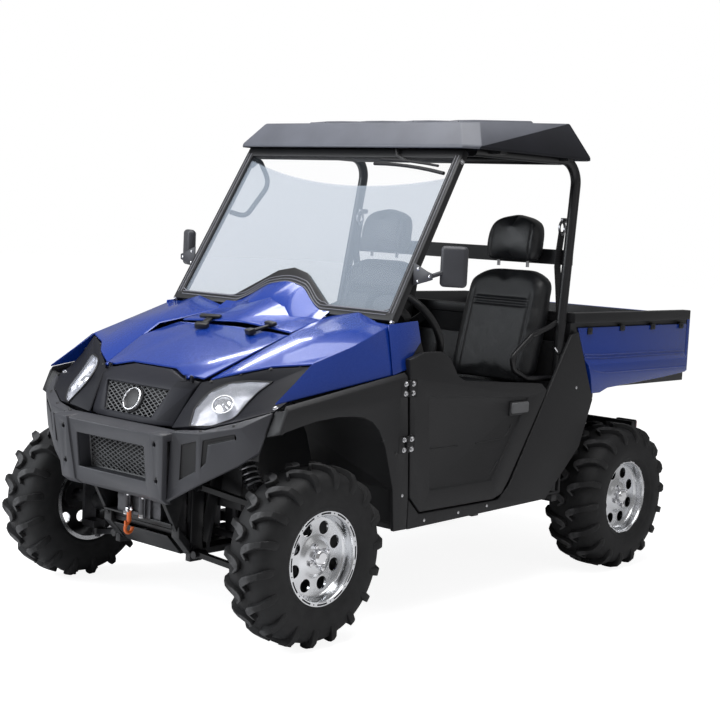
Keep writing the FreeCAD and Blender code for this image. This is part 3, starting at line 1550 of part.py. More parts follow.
def grilles():
    z0 = nose_window_z - 2 * grille_bar
    z1 = nose_window_z + nose_window_height
    y0, y1 = nose_face_y(z0), nose_face_y(z1)
    height = math.hypot(y1 - y0, z1 - z0)
    slope = (nose_window_half_top - nose_window_half_low) / nose_window_height
    upper = mesh_panel(nose_window_half_low - 2 * grille_bar * slope + grille_bar,
                       nose_window_half_top + grille_bar, height)
    disc = Part.makeCylinder(badge_radius, badge_thickness, V(0, grille_thickness, height / 2), V(0, -1, 0))
    ring = Part.makeTorus(badge_radius, badge_thickness / 3,
                          V(0, grille_thickness - badge_thickness, height / 2), V(0, -1, 0))
    upper = joined([upper, disc, ring])
    behind = nose_skin * 1.6
    upper = set_back(upper, y0 + behind, z0, y1 + behind, z1, height).cut(nose())
    z0 = window_z - 2 * grille_bar
    z1 = window_z + window_height + 2 * grille_bar
    y0 = bumper_face_y(z0) + bumper_skin + seat_gap
    y1 = bumper_face_y(z1) + bumper_skin + seat_gap
    lower = mesh_panel(window_half_width + grille_bar, window_half_width + grille_bar,
                       math.hypot(y1 - y0, z1 - z0))
    lower = set_back(lower, y0, z0, y1, z1, 0)
    save("grille_mesh", Part.makeCompound([upper, lower]))


bumper_front_shares = ((0.13, 1), (0.9, 0.94), (0.62, 0.08), (0.3, 0))
plate_front_shares = ((0.13, 1), (1, 0.96), (0.72, 0.08), (0.4, 0))


def bumper_point(share):
    a, b = share
    return -front_overhang + bumper_depth * (1 - a), bumper_z + bumper_height * b


def bumper_face_y(z):
    (y1, z1), (y0, z0) = bumper_point(bumper_front_shares[1]), bumper_point(bumper_front_shares[2])
    return y0 + (y1 - y0) * (z - z0) / (z1 - z0)


def folded(shares, thickness):
    """Closed (y, z) outline of a folded plate with the given front."""
    front = [bumper_point(share) for share in shares]
    back = [(y + thickness, z - (thickness if i == 0 else 0)) for i, (y, z) in enumerate(front)]
    back[1] = (front[1][0] + thickness, front[1][1] - thickness)
    return [(along(y), z) for y, z in front + back[::-1]]


def bumper():
    """Pressed centre with its window, two bolted plates and the side wings."""
    panel = plate_x(folded(bumper_front_shares, bumper_skin), -plate_inner_x - bumper_skin,
                    plate_inner_x + bumper_skin)
    window = slab((-window_half_width, window_half_width),
                  (along(-front_overhang) - overrun, along(-front_overhang) + bumper_depth),
                  (window_z, window_z + window_height))
    parts = [panel.cut(window)]
    outline = folded(plate_front_shares, 2 * bumper_skin)
    for sign in (-1, 1):
        sections = []
        for x in (plate_inner_x, plate_inner_x + plate_width):
            lean = [x - bumper_lean * (1 - (z - bumper_z) / bumper_height) for y, z in outline]
            sections.append([V(sign * a, y, z) for a, (y, z) in zip(lean, outline)])
        plate = skin(sections)
        for k in (0, 1):
            z = plate_hole_low_z + k * plate_hole_spacing
            x = sign * plate_hole_x()
            plate = plate.cut(rod(V(x, along(-front_overhang) - overrun, z),
                                  V(x, along(-front_overhang) + bumper_depth, z), plate_hole_radius))
        parts.append(plate)
        parts.append(bumper_wing(sign))
    save("front_bumper", joined(parts))


def plate_hole_x():
    return plate_inner_x + (plate_width - bumper_lean) / 2


wing_row_shares = (
    ((0.0, 0.25, 0.735), (0.36, 0.37, 0.773), (0.715, 0.605, 0.88), (0.97, 0.97, 0.985)),
    ((0.0, 0.085, 0.727), (0.385, 0.21, 0.745), (0.805, 0.55, 0.837), (1.0, 0.975, 0.99)),
    ((-0.07, 0.135, 0), (0.36, 0.3, 0.235), (0.76, 0.57, 0.452), (0.965, 0.755, 0.605)))


def bumper_wing(sign):
    """Side wing: a flange on top, a face that folds back and a rising lower edge."""
    rows = []
    for row in wing_row_shares:
        rows.append([V(sign * (wing_x + a * wing_width), along(wing_y + b * wing_length),
                       wing_z + c * wing_height) for a, b, c in row])
    return grid_sheet(rows, V(-sign * bumper_skin / 2, 0.8 * bumper_skin, -bumper_skin / 2))


def winch():
    z = winch_z
    y = along(winch_y)
    half = winch_width / 2
    body = slab((-half, half), (y, y + winch_depth), (z, z + winch_height / 2))
    drum = rod(V(-half, y + winch_depth / 2, z + winch_height / 2),
               V(half, y + winch_depth / 2, z + winch_height / 2), winch_height / 2)
    lead = slab((-fairlead_width / 2, fairlead_width / 2), (y - fairlead_thickness, y),
                (z, z + fairlead_height))
    slot = slab((-roller_half_gap, roller_half_gap), (y - 2 * fairlead_thickness, y),
                (z + roller_radius, z + roller_length))
    rollers = []
    for sign in (-1, 1):
        x = sign * roller_half_gap
        centre_y = y - fairlead_thickness - roller_radius
        rollers.append(rod(V(x, centre_y, z + roller_radius),
                           V(x, centre_y, z + roller_radius + roller_length), roller_radius))
    save("winch", joined([body, drum, lead.cut(slot)] + rollers))
    hook_y = y - fairlead_thickness - 2 * roller_radius - hook_thickness / 2
    top = z + hook_width
    hook = slab((-hook_width / 2, hook_width / 2), (hook_y - hook_thickness, hook_y),
                (top - hook_height, top))
    eye = rod(V(0, hook_y - hook_thickness - overrun, top - hook_height * 0.75),
              V(0, hook_y + overrun, top - hook_height * 0.75), hook_width / 4)
    rope = rod(V(0, hook_y - hook_thickness / 2, top - hook_width / 3),
               V(0, y + winch_depth / 4, top - hook_width / 3), hook_width / 7)
    save("winch_hook", joined([hook.cut(eye), rope.cut([body, drum])]))


def tail_lamps():
    wide, deep, tall = tail_lamp_size
    y = along(rear_bar_y)
    lamp = slab((tail_lamp_x - wide, tail_lamp_x), (y, y + deep),
                (tail_lamp_z - tall / 2, tail_lamp_z + tall / 2))
    save("tail_lamps", pair(lamp))


def nose_group():
    left = bezel()
    save("front_fascia", Part.makeCompound([nose(), left, mirrored(left)]))
    save("headlamps", pair(headlamp()))
    grilles()
    bumper()
    winch()
    tail_lamps()


def main():
    os.makedirs("parts", exist_ok=True)
    wheels()
    knuckles()
    suspension()
    main_frame()
    save("skid_plate", skid())
    power_train()
    floor_and_seats()
    dashboard()
    cage()
    windshield()
    roof()
    mirrors()
    doors()
    side_panels()
    fenders()
    bed()
    hood()
    nose_group()


main()
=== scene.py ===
# %% [markdown]
# # A side by side utility vehicle, dressed
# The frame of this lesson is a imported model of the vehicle: every tube, panel, hinge and wheel at
# its real size. Here each of those pieces gets its finish, and the pieces that are soft, round or
# finely made get a better mesh.

# %% Load the model
import json
import math

import bmesh
import bpy
from mathutils import Matrix, Vector


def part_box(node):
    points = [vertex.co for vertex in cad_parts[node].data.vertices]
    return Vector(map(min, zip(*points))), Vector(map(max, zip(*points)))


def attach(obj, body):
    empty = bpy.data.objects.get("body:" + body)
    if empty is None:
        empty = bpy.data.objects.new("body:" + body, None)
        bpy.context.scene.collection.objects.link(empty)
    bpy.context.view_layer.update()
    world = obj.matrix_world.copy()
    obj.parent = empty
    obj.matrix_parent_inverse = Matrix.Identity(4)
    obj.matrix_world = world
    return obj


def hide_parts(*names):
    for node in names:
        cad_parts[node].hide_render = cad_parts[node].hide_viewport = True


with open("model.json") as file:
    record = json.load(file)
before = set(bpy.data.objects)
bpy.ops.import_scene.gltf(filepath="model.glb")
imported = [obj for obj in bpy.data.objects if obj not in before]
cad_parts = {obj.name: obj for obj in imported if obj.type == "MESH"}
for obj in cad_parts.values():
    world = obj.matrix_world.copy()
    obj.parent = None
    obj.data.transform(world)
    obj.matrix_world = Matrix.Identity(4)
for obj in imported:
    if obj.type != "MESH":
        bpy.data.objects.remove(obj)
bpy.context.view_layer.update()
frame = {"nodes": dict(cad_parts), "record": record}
nodes = frame["nodes"]
bodies = frame["record"]["behaviour"]["bodies"]
body_of_node = {node: body for body, members in bodies.items() for node in members}

# %% [markdown]
# ## Where things stand
# Places on this vehicle are easiest to measure from the front axle, because both wheels show in
# the photograph. So the axles come first, read from the boxes of the tyres, and one short function
# turns a distance from the front axle into a place on the Y axis.

# %% Axles
def halfway(node, axis):
    """Middle of a node's box on one axis."""
    low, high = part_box(node)
    return (low[axis] + high[axis]) / 2


front_axle_y = halfway("tyre_front_left", 1)
rear_axle_y = halfway("tyre_rear_left", 1)
wheelbase = rear_axle_y - front_axle_y
wheel_height = halfway("tyre_front_left", 2)
side_signs = (("left", 1), ("right", -1))
mirror_x = {side: Matrix.Scale(sign, 4, (1, 0, 0)) for side, sign in side_signs}


def along(y):
    """Place on the Y axis of a point that is given from the front axle."""
    return front_axle_y + y


def laid(points):
    """Measured points, y from the front axle, as vectors."""
    return [Vector((x, along(y), z)) for x, y, z in points]


print("wheelbase", round(wheelbase, 3), "axles", round(wheel_height, 3), "above the ground")

# %% [markdown]
# ## The camera
# A photographer stood ahead of the left front wheel, at about head height. The place, the turn and
# the lens were solved from points of the wheels and the windshield. A camera looks along its own
# -Z with +Y up, so its matrix is built from three directions instead of from angles.

# %% Camera
camera_place = Vector((4.0922, front_axle_y - 3.6019, 1.4754))
camera_turn = math.radians(42.066)
camera_dip = math.radians(5.506)
camera_roll = math.radians(2.799)
camera_lens = 74.105


def linked(name, data):
    """New object in the scene."""
    obj = bpy.data.objects.new(name, data)
    bpy.context.scene.collection.objects.link(obj)
    return obj


def make_camera():
    flat = math.cos(camera_dip)
    ahead = Vector((-math.sin(camera_turn) * flat, math.cos(camera_turn) * flat, -math.sin(camera_dip)))
    level = Vector((math.cos(camera_turn), math.sin(camera_turn), 0))
    above = level.cross(ahead)
    right = level * math.cos(camera_roll) + above * math.sin(camera_roll)
    up = above * math.cos(camera_roll) - level * math.sin(camera_roll)
    data = bpy.data.cameras.new("camera")
    data.sensor_width = 36
    data.lens = camera_lens
    camera = linked("camera", data)
    turn = Matrix((right, up, -ahead)).transposed().to_4x4()
    camera.matrix_world = Matrix.Translation(camera_place) @ turn
    bpy.context.scene.camera = camera


make_camera()
print("camera", [round(v, 2) for v in camera_place], "with a", camera_lens, "mm lens")

# %% [markdown]
# ## Maths on sockets
# A procedural finish is a small sum of noises, masks and colours. Written as a chain of node calls
# it is hard to read, so one class wraps a socket and lets Python's own operators add the Math
# nodes. A second class holds a tree and adds any node with one method. It serves materials, the
# studio's world and, further down, the trees of Geometry Nodes.

# %% Signals and trees
class Signal:
    """A value on its way through a tree's nodes."""

    def __init__(self, owner, socket):
        self.owner = owner
        self.socket = socket

    def math(self, operation, other=0.0, swapped=False):
        first, second = (other, self) if swapped else (self, other)
        return self.owner.node("ShaderNodeMath", {0: first, 1: second}, operation=operation)

    def __add__(self, other):
        return self.math("ADD", other)

    __radd__ = __add__

    def __sub__(self, other):
        return self.math("SUBTRACT", other)

    def __rsub__(self, other):
        return self.math("SUBTRACT", other, True)

    def __mul__(self, other):
        return self.math("MULTIPLY", other)

    __rmul__ = __mul__

    def __pow__(self, other):
        return self.math("POWER", other)


class Tree:
    """A node tree, with one method that adds any node: settings first, then values and links."""

    def __init__(self, tree):
        self.tree = tree

    def node(self, kind, inputs=None, output=0, **settings):
        made = self.tree.nodes.new(kind)
        for name, value in settings.items():
            if name == "stops":
                self.fill_ramp(made.color_ramp, value)
            else:
                setattr(made, name, value)
        for key, value in (inputs or {}).items():
            self.feed(made.inputs[key], value)
        return Signal(self, made.outputs[output])

    def feed(self, socket, value):
        if isinstance(value, Signal):
            self.tree.links.new(value.socket, socket)
        else:
            socket.default_value = value

    def fill_ramp(self, ramp, stops):
        while len(ramp.elements) < len(stops):
            ramp.elements.new(1)
        for element, (place, shade) in zip(ramp.elements, stops):
            element.position = place
            element.color = (*shade, 1)

    def seen(self):
        """1 where the camera looks, straight or through glass, and 0 for light and mirror images."""
        straight = self.node("ShaderNodeLightPath", output="Is Camera Ray")
        return straight.math("MAXIMUM", self.node("ShaderNodeLightPath", output="Is Transmission Ray"))


# %% [markdown]
# ## A finish
# A finish is a Principled material. Its textures all read Object coordinates, which are metres on
# the vehicle, so a grain keeps its real size on every piece and runs on from one to the next.

# %% Finishes
finishes = {}


def colour(red, green, blue):
    return (red, green, blue, 1.0)


class Finish(Tree):
    """A material, with a few methods for what many finishes share."""

    def __init__(self, name, **constants):
        self.material = bpy.data.materials.new(name)
        self.material.use_nodes = True
        super().__init__(self.material.node_tree)
        self.shader = self.tree.nodes["Principled BSDF"]
        self.set(**constants)
        finishes[name] = self.material

    def set(self, **values):
        for name, value in values.items():
            self.feed(self.shader.inputs[name.replace("_", " ").title().replace("Ior", "IOR")], value)

    def place(self):
        return self.node("ShaderNodeTexCoord", output="Object")

    def axis(self, letter):
        return self.node("ShaderNodeSeparateXYZ", {0: self.place()}, letter)

    def noise(self, scale, detail=3):
        inputs = {"Vector": self.place(), "Scale": scale, "Detail": detail}
        return self.node("ShaderNodeTexNoise", inputs, "Fac")

    def cells(self, scale, feature="F1", output="Distance"):
        inputs = {"Vector": self.place(), "Scale": scale}
        return self.node("ShaderNodeTexVoronoi", inputs, output, feature=feature)

    def ramp(self, value, *stops):
        return self.node("ShaderNodeValToRGB", {0: value}, "Color", stops=stops)

    def step(self, value, low, high):
        inputs = {"Value": value, "From Min": low, "From Max": high}
        return self.node("ShaderNodeMapRange", inputs, "Result", interpolation_type="SMOOTHSTEP")

    def mix(self, share, first, second):
        return self.node("ShaderNodeMix", {0: share, 6: first, 7: second}, 2, data_type="RGBA")

    def bump(self, height, strength, distance=0.001):
        inputs = {"Height": height, "Strength": strength, "Distance": distance}
        self.feed(self.shader.inputs["Normal"], self.node("ShaderNodeBump", inputs, "Normal"))


def shades(base, dark, light, low=0.3, high=0.7):
    """Two ramp stops, a darker and a lighter shade of one base colour."""
    return (low, [c * dark for c in base]), (high, [c * light for c in base])


print("signals, trees and finishes are ready")

# %% [markdown]
# ## Moulded plastics
# The doors, fenders and side panels are thermoformed sheet with a fine leather-like grain, the
# nose and bumper are a smoother dark grey, and the roof is a coarser moulding. All three share one
# recipe: two noises, a small one for the grain in the bump and a large one that lets the sheen and
# the colour wander a little, as a moulded panel's does.

# %% Plastic finishes
def moulded(name, base, rough, grain, grain_height, shine=0.45):
    finish = Finish(name, roughness=rough, specular_ior_level=shine)
    cloud = finish.noise(5, 4)
    finish.set(base_color=finish.ramp(cloud, *shades(base, 0.86, 1.12)),
               roughness=rough - 0.06 + 0.12 * cloud)
    finish.bump(finish.noise(grain, 2) + 0.6 * finish.cells(grain * 0.8), grain_height, 0.0006)


moulded("panel_black", (0.0125, 0.0125, 0.0140), 0.52, 900, 0.22)
moulded("fascia_grey", (0.054, 0.055, 0.063), 0.44, 700, 0.12)
moulded("nose_grey", (0.019, 0.0195, 0.0260), 0.50, 700, 0.12, 0.20)
moulded("roof_grey", (0.112, 0.118, 0.140), 0.42, 600, 0.20)
moulded("bezel_grey", (0.0130, 0.0135, 0.0180), 0.50, 700, 0.12, 0.20)
moulded("trim_black", (0.014, 0.014, 0.0155), 0.44, 800, 0.16)
moulded("paddle_grey", (0.125, 0.127, 0.132), 0.5, 700, 0.12)
moulded("trim_line", (0.20, 0.20, 0.22), 0.38, 900, 0.08)
print(len(finishes), "plastics")

# %% [markdown]
# ## Painted metal and gloss blue
# Powder coat has an orange-peel skin, so its bump is a soft noise. The blue panels are a coloured
# gloss plastic with fine flakes: a tight cell pattern nudges the base colour, a clear coat lies on
# top, and a slow noise gives the long waves that moulded gloss panels show in their reflections.

# %% Painted finishes
def powder_coat(name, base, rough):
    finish = Finish(name, roughness=rough, specular_ior_level=0.5)
    peel = finish.noise(260, 2)
    finish.set(base_color=finish.ramp(finish.noise(9), *shades(base, 0.85, 1.2)),
               roughness=rough - 0.05 + 0.1 * peel)
    finish.bump(peel, 0.12, 0.0008)


def gloss_blue():
    finish = Finish("body_blue", metallic=0.15, coat_weight=0.6, coat_roughness=0.04, coat_ior=1.5)
    spark = finish.node("ShaderNodeSeparateColor", {0: finish.cells(2400, output="Color")}, "Red")
    deep = colour(0.004, 0.028, 0.24)
    bright = colour(0.009, 0.060, 0.42)
    finish.set(base_color=finish.mix(spark, deep, bright), roughness=0.2 + 0.1 * spark)
    finish.bump(finish.noise(7, 2), 0.10, 0.004)


powder_coat("frame_black", (0.012, 0.012, 0.0135), 0.36)
powder_coat("mesh_black", (0.02, 0.02, 0.022), 0.4)
powder_coat("hook_orange", (0.78, 0.16, 0.03), 0.38)
gloss_blue()
print(len(finishes), "finishes with the painted ones")

# %% [markdown]
# ## Metals
# The wheels are turned aluminium: fine rings round each axle, which a sine of the distance from
# the axle gives. The distance is measured in the material from the object's own coordinates, from
# whichever axle is nearer, so one finish serves all four wheels.

# %% Metal finishes
ring_waves = 5200.0    # radians per metre, so a turned ring every 1.2 mm


def radius_from_axle(finish):
    """Distance in metres from the nearer axle's line."""
    y = finish.axis("Y")
    height = finish.axis("Z") - wheel_height
    from_front = (y - front_axle_y).math("ABSOLUTE")
    nearer = from_front.math("MINIMUM", (y - rear_axle_y).math("ABSOLUTE"))
    return (nearer * nearer + height * height) ** 0.5


def metal(name, base, rough, scale=40, spread=0.12):
    finish = Finish(name, metallic=1.0)
    cloud = finish.noise(scale, 4)
    finish.set(base_color=finish.ramp(cloud, *shades(base, 1 - spread, 1, 0.25, 0.75)),
               roughness=rough - 0.06 + 0.14 * cloud)
    finish.bump(finish.noise(scale * 12, 2), 0.08, 0.0006)
    return finish


metal("bare_steel", (0.42, 0.42, 0.44), 0.38)
metal("cast_metal", (0.16, 0.16, 0.17), 0.55, 60, 0.3)
metal("chrome_bright", (0.86, 0.86, 0.88), 0.08, 12, 0.04)
metal("zinc_bolt", (0.74, 0.74, 0.76), 0.26, 90, 0.15).set(specular_ior_level=0.6)
metal("mirror_glass", (0.82, 0.84, 0.88), 0.04, 8, 0.03).set(specular_ior_level=0.5)
turned_metal = metal("rim_silver", (0.80, 0.81, 0.83), 0.20, 14, 0.06)
turned_metal.bump((radius_from_axle(turned_metal) * ring_waves).math("SINE"), 0.10, 0.0002)
print(len(finishes), "finishes with the metals")

# %% [markdown]
# ## Rubber, vinyl and webbing
# New off-road rubber is near black, and the tips of the lugs are scuffed grey. The mask for that
# is the distance from the axle again, broken up with noise. The seats are grained vinyl. The
# belts are woven, and a sine along their length gives the weft.

# %% Soft finishes
tyre_radius = (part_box("tyre_front_left")[1].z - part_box("tyre_front_left")[0].z) / 2


def rubber():
    finish = Finish("tyre_black", specular_ior_level=0.35)
    reach = radius_from_axle(finish) + 0.004 * finish.noise(60, 4)
    worn = finish.step(reach, tyre_radius - 0.001, tyre_radius + 0.003)
    dust = finish.noise(24, 5)
    dark = finish.ramp(dust, (0.3, (0.010, 0.010, 0.011)), (0.75, (0.021, 0.021, 0.022)))
    finish.set(base_color=finish.mix(worn, dark, colour(0.085, 0.085, 0.088)), roughness=0.56 + 0.16 * dust)
    finish.bump(finish.noise(420), 0.2, 0.0007)


def vinyl():
    finish = Finish("seat_black", specular_ior_level=0.5)
    crease = finish.noise(26, 5)
    finish.set(base_color=finish.ramp(crease, (0.3, (0.0085, 0.009, 0.0105)), (0.7, (0.016, 0.017, 0.019))),
               roughness=0.34 + 0.14 * crease)
    finish.bump(finish.cells(620, "SMOOTH_F1") + 0.8 * crease, 0.25, 0.0009)


def woven():
    finish = Finish("webbing", roughness=0.7)
    weft = (finish.axis("Z") * 900.0).math("SINE")
    finish.set(base_color=finish.ramp(weft, (0.3, (0.010, 0.010, 0.011)), (0.7, (0.030, 0.030, 0.033))))
    finish.bump(weft, 0.3, 0.0006)


rubber()
vinyl()
woven()
print("tyre radius", round(tyre_radius, 4))

# %% [markdown]
# ## Lamps and windshield
# The lamps are a pale rippled bowl behind a thin clear lens, and the tail lamps are red prisms. A
# clear sheet can be made with transmission, which is slow and dark in a studio. A low alpha on a
# shiny sheet looks the same here. The screen is tinted lilac below a curve and clear above it.

# %% Lamp and glass finishes
def clear_lens():
    Finish("lamp_clear", base_color=colour(0.70, 0.73, 0.80), roughness=0.03, alpha=0.12, ior=1.45,
           specular_ior_level=0.5)


def red_lens():
    finish = Finish("lamp_red", roughness=0.12, coat_weight=0.6)
    prism = finish.cells(180)
    finish.set(base_color=finish.ramp(prism, (0.0, (0.30, 0.006, 0.006)), (0.8, (0.58, 0.02, 0.02))))
    finish.bump(prism, 0.4, 0.001)


def lamp_bowl():
    finish = Finish("lamp_bowl", metallic=0.55, roughness=0.28)
    ripple = finish.noise(16, 2)
    finish.set(base_color=finish.ramp(ripple, (0.3, (0.42, 0.43, 0.48)), (0.7, (0.78, 0.79, 0.85))))
    finish.bump(finish.noise(30, 2), 0.2, 0.004)


def black_screw():
    finish = Finish("black_screw", roughness=0.35)
    speck = finish.noise(300)
    finish.set(base_color=finish.ramp(speck, (0.3, (0.008, 0.008, 0.009)), (0.7, (0.02, 0.02, 0.022))))


tint_low_z, tint_middle_x, tint_curve = 1.600, 0.12, 0.21


def screen_glass():
    """Hazy lilac tint below a curve, and nearly clear above it."""
    finish = Finish("screen_glass", roughness=0.05, ior=1.45, specular_ior_level=0.4)
    across = finish.axis("X") - tint_middle_x
    edge = tint_low_z + tint_curve * (across * across)
    tinted = finish.step(edge - finish.axis("Z"), 0.0, 0.006)
    drift = finish.noise(1.5, 2)
    finish.set(base_color=finish.ramp(drift, (0.3, (0.36, 0.42, 0.49)), (0.7, (0.40, 0.45, 0.52))),
               alpha=0.02 + 0.39 * tinted)


for make in (clear_lens, red_lens, lamp_bowl, black_screw, screen_glass):
    make()
print(len(finishes), "finishes in all")

# %% [markdown]
# ## Every carried-over piece gets its finish
# The record names a material slot for each node, and the finishes above have the same names, so
# one loop dresses the whole frame.

# %% Dress the frame
slot_of = {row["node"]: row["material_slot"] for row in frame["record"]["subparts"]}
for node, obj in nodes.items():
    obj.data.materials.clear()
    obj.data.materials.append(finishes[slot_of[node]])
print("dressed", len(nodes), "nodes")

# %% [markdown]
# ## Turning a mesh into a piece
# Every visible mesh has to ride on a body of the model, and the nodes that it stands for are
# hidden. One function does that for all pieces. A second applies modifiers to a mesh at once, so
# that a finished piece is a plain mesh that sits at the origin.

# %% Pieces
nearest_slot = {"lamp_bowl": "chrome_bright", "zinc_bolt": "bare_steel", "black_screw": "trim_black",
                "paddle_grey": "trim_black", "trim_line": "trim_black", "webbing": "trim_black",
                "mirror_glass": "chrome_bright", "bezel_grey": "fascia_grey", "nose_grey": "fascia_grey"}


def new_piece(name, mesh, body, finish, slot=None, stands_for=()):
    """Object that rides on a body; two finishes go to the faces numbered 0 and 1."""
    obj = linked(name, mesh)
    names = finish if isinstance(finish, tuple) else (finish,)
    kept = [0] * len(mesh.polygons)
    mesh.polygons.foreach_get("material_index", kept)
    mesh.materials.clear()
    for item in names:
        mesh.materials.append(finishes[item])
    if len(names) > 1:
        mesh.polygons.foreach_set("material_index", kept)
    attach(obj, body)
    slot or nearest_slot.get(names[0], names[0])
    if stands_for:
        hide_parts(*stands_for)
    print(name, len(mesh.polygons), "faces on", body)
    return obj


def evaluated(obj):
    """Plain mesh of an object with its modifiers."""
    return bpy.data.meshes.new_from_object(obj.evaluated_get(bpy.context.evaluated_depsgraph_get()))


def baked(name, bm):
    mesh = bpy.data.meshes.new(name)
    bm.to_mesh(mesh)
    bm.free()
    return mesh


def settled(mesh, *modifiers):
    """The mesh with modifiers applied, each given as a type and its settings."""
    work = linked("work", mesh)
    for kind, settings in modifiers:
        modifier = work.modifiers.new(kind.lower(), kind)
        for name, value in settings.items():
            setattr(modifier, name, value)
    done = evaluated(work)
    bpy.data.objects.remove(work)
    return done


def thick(mesh, wall, offset=-1.0):
    return settled(mesh, ("SOLIDIFY", {"thickness": wall, "offset": offset}))


def smoothed(mesh, angle=40):
    mesh.shade_smooth()
    mesh.set_sharp_from_angle(angle=math.radians(angle))
    return mesh


def mesh_of(name, bm):
    """Mesh from a bmesh whose doubles are merged and whose faces point outwards."""
    bmesh.ops.remove_doubles(bm, verts=bm.verts, dist=1e-5)
    bmesh.ops.recalc_face_normals(bm, faces=bm.faces)
    return baked(name, bm)


def moved(mesh, matrix):
    """A copy of the mesh in another place, turned the right way out after a mirror."""
    copy = mesh.copy()
    copy.transform(matrix)
    if matrix.determinant() < 0:
        copy.flip_normals()
    return copy


def merged(*meshes):
    bm = bmesh.new()
    for mesh in meshes:
        bm.from_mesh(mesh)
    return baked(meshes[0].name, bm)


def mirrored(mesh):
    return moved(mesh, mirror_x["right"])


def both_sides(mesh):
    return merged(mesh, mirrored(mesh))


# %% [markdown]
# ## Skins over rows of points
# Most small parts here are a row of points that is swept, turned or stacked: a cutter, a rim, a
# tread bar, a strap. One function lays four-cornered faces between such rows. It can close the
# first and the last row with a face each, join the last row to the first, or leave a sheet open.

# %% Skins
def skin(bm, rows, first=True, last=True, across=True, around=False):
    """Faces between rows of places; across closes each row, around closes the rows."""
    rows = [[bm.verts.new(place) for place in row] for row in rows]
    count = len(rows[0])
    for near, far in zip(rows, rows[1:] + rows[:1] if around else rows[1:]):
        for i in range(count if across else count - 1):
            j = (i + 1) % count
            bm.faces.new((near[i], near[j], far[j], far[i]))
    if first:
        bm.faces.new(rows[0][::-1])
    if last:
        bm.faces.new(rows[-1])


def skinned(name, rows, **closing):
    bm = bmesh.new()
    skin(bm, rows, **closing)
    return mesh_of(name, bm)


print("skins are ready")

# %% [markdown]
# ## Rounded copies
# The model's solids have crisp corners, as a drawing has. A moulded or bent sheet catches light on
# its radius, so each hard piece is copied, its loose triangles are merged to whole faces, and a
# bevel rounds the corners. The copy stands for the node, and the node stays for the motion.

# %% Rounded copies
def merged_copy(node, keep=None):
    bm = bmesh.new()
    bm.from_mesh(nodes[node].data)
    bmesh.ops.remove_doubles(bm, verts=bm.verts, dist=2e-5)
    if keep:
        away = [v for v in bm.verts if not keep(v.co)]
        bmesh.ops.delete(bm, geom=away, context="VERTS")
    bmesh.ops.dissolve_limit(bm, angle_limit=math.radians(1.2), verts=bm.verts, edges=bm.edges)
    return baked(node + "_copy", bm)


def carved(mesh, cutter, number):
    """The mesh less the cutter, whose faces take the finish of that number."""
    tool = linked("tool", cutter)
    for item in (mesh, cutter):
        while len(item.materials) < 2:
            item.materials.append(finishes["trim_black"])
    cutter.polygons.foreach_set("material_index", [number] * len(cutter.polygons))
    cut = {"operation": "DIFFERENCE", "solver": "EXACT", "object": tool, "material_mode": "INDEX"}
    done = settled(mesh, ("BOOLEAN", cut))
    bpy.data.objects.remove(tool)
    return done


# %% [markdown]
# ## Pockets in the bumper
# The bumper's plates have an upright pocket and a hooked one beside each lamp. A pocket is easiest
# to cut from the finished solid: a prism over its measured corners is sunk into the face, and the
# faces that it leaves are painted black as painted shade in the recess.

# %% Pockets
pocket_depth = 0.0075
pocket_overrun = 0.012


def pocket_cutter(corners, facing):
    """Prism that sinks a pocket through measured corners, y from the front axle."""
    facing = Vector(facing).normalized()
    return skinned("pocket", [[place + facing * out for place in laid(corners)]
                              for out in (-pocket_depth, pocket_overrun)])


upright_pocket = pocket_cutter(
    ((0.337, -0.321, 0.680), (0.398, -0.310, 0.699), (0.389, -0.300, 0.596), (0.327, -0.315, 0.558)),
    (0.21, -0.97, -0.11))
hooked_pocket = pocket_cutter(
    ((0.424, -0.302, 0.705), (0.521, -0.251, 0.735), (0.526, -0.246, 0.721), (0.438, -0.293, 0.692),
     (0.428, -0.290, 0.629), (0.412, -0.296, 0.611)),
    (0.46, -0.88, -0.11))
carvings = {"front_bumper": both_sides(merged(upright_pocket, hooked_pocket))}
print("pockets", len(carvings["front_bumper"].polygons), "cutter faces")

# %% [markdown]
# ## Rounding the hard pieces
# A bevel modifier, limited to edges of more than 28 degrees, rounds each hard piece. Its width is
# the radius that the real sheet or moulding has there. Some pieces have a second finish: the lamp
# bezels and the tailgate's inside. The roof's sides and underside take the darker bezel grey as
# painted shade, and the bumper's pockets take black as painted shade.

# %% Round the hard pieces
rounding = {"door_left": 0.004, "door_right": 0.004, "side_panels": 0.004, "front_fenders": 0.003,
            "roof": 0.006, "bed_tub": 0.003, "bed_sides": 0.004, "tailgate": 0.003,
            "front_fascia": 0.004, "front_bumper": 0.003, "floor_pan": 0.003, "seat_platform": 0.006,
            "dashboard": 0.012, "windshield_frame": 0.003, "front_cowl": 0.006, "hood_lid": 0.005,
            "skid_plate": 0.002, "muffler": 0.004, "main_frame": 0.002, "engine_block": 0.006,
            "final_drives": 0.006}
# second finishes: the fascia's bezels and the tailgate's inside are real colours; the bumper's pockets and
# the roof's sides and underside are painted shade
two_tone_and_shade = {"front_bumper": ("fascia_grey", "trim_black"), "front_fascia": ("nose_grey", "bezel_grey"),
            "roof": ("roof_grey", "bezel_grey"), "tailgate": ("body_blue", "trim_black")}
large_radius = 0.003    # above this, a bevel has three segments instead of two


def rounded(node, width):
    bevel = {"width": width, "segments": 3 if width > large_radius else 2, "limit_method": "ANGLE",
             "angle_limit": math.radians(28), "use_clamp_overlap": False, "miter_outer": "MITER_ARC"}
    plain = merged_copy(node)
    if node in carvings:
        # painted shade: the pocket faces that the cutter leaves take black
        plain = carved(plain, carvings[node], 1)
    mesh = smoothed(settled(plain, ("BEVEL", bevel)), 50)
    finish = two_tone_and_shade.get(node, slot_of[node])
    new_piece(node + "_rounded", mesh, body_of_node[node], finish, slot_of[node], (node,))


for node, width in rounding.items():
    rounded(node, width)


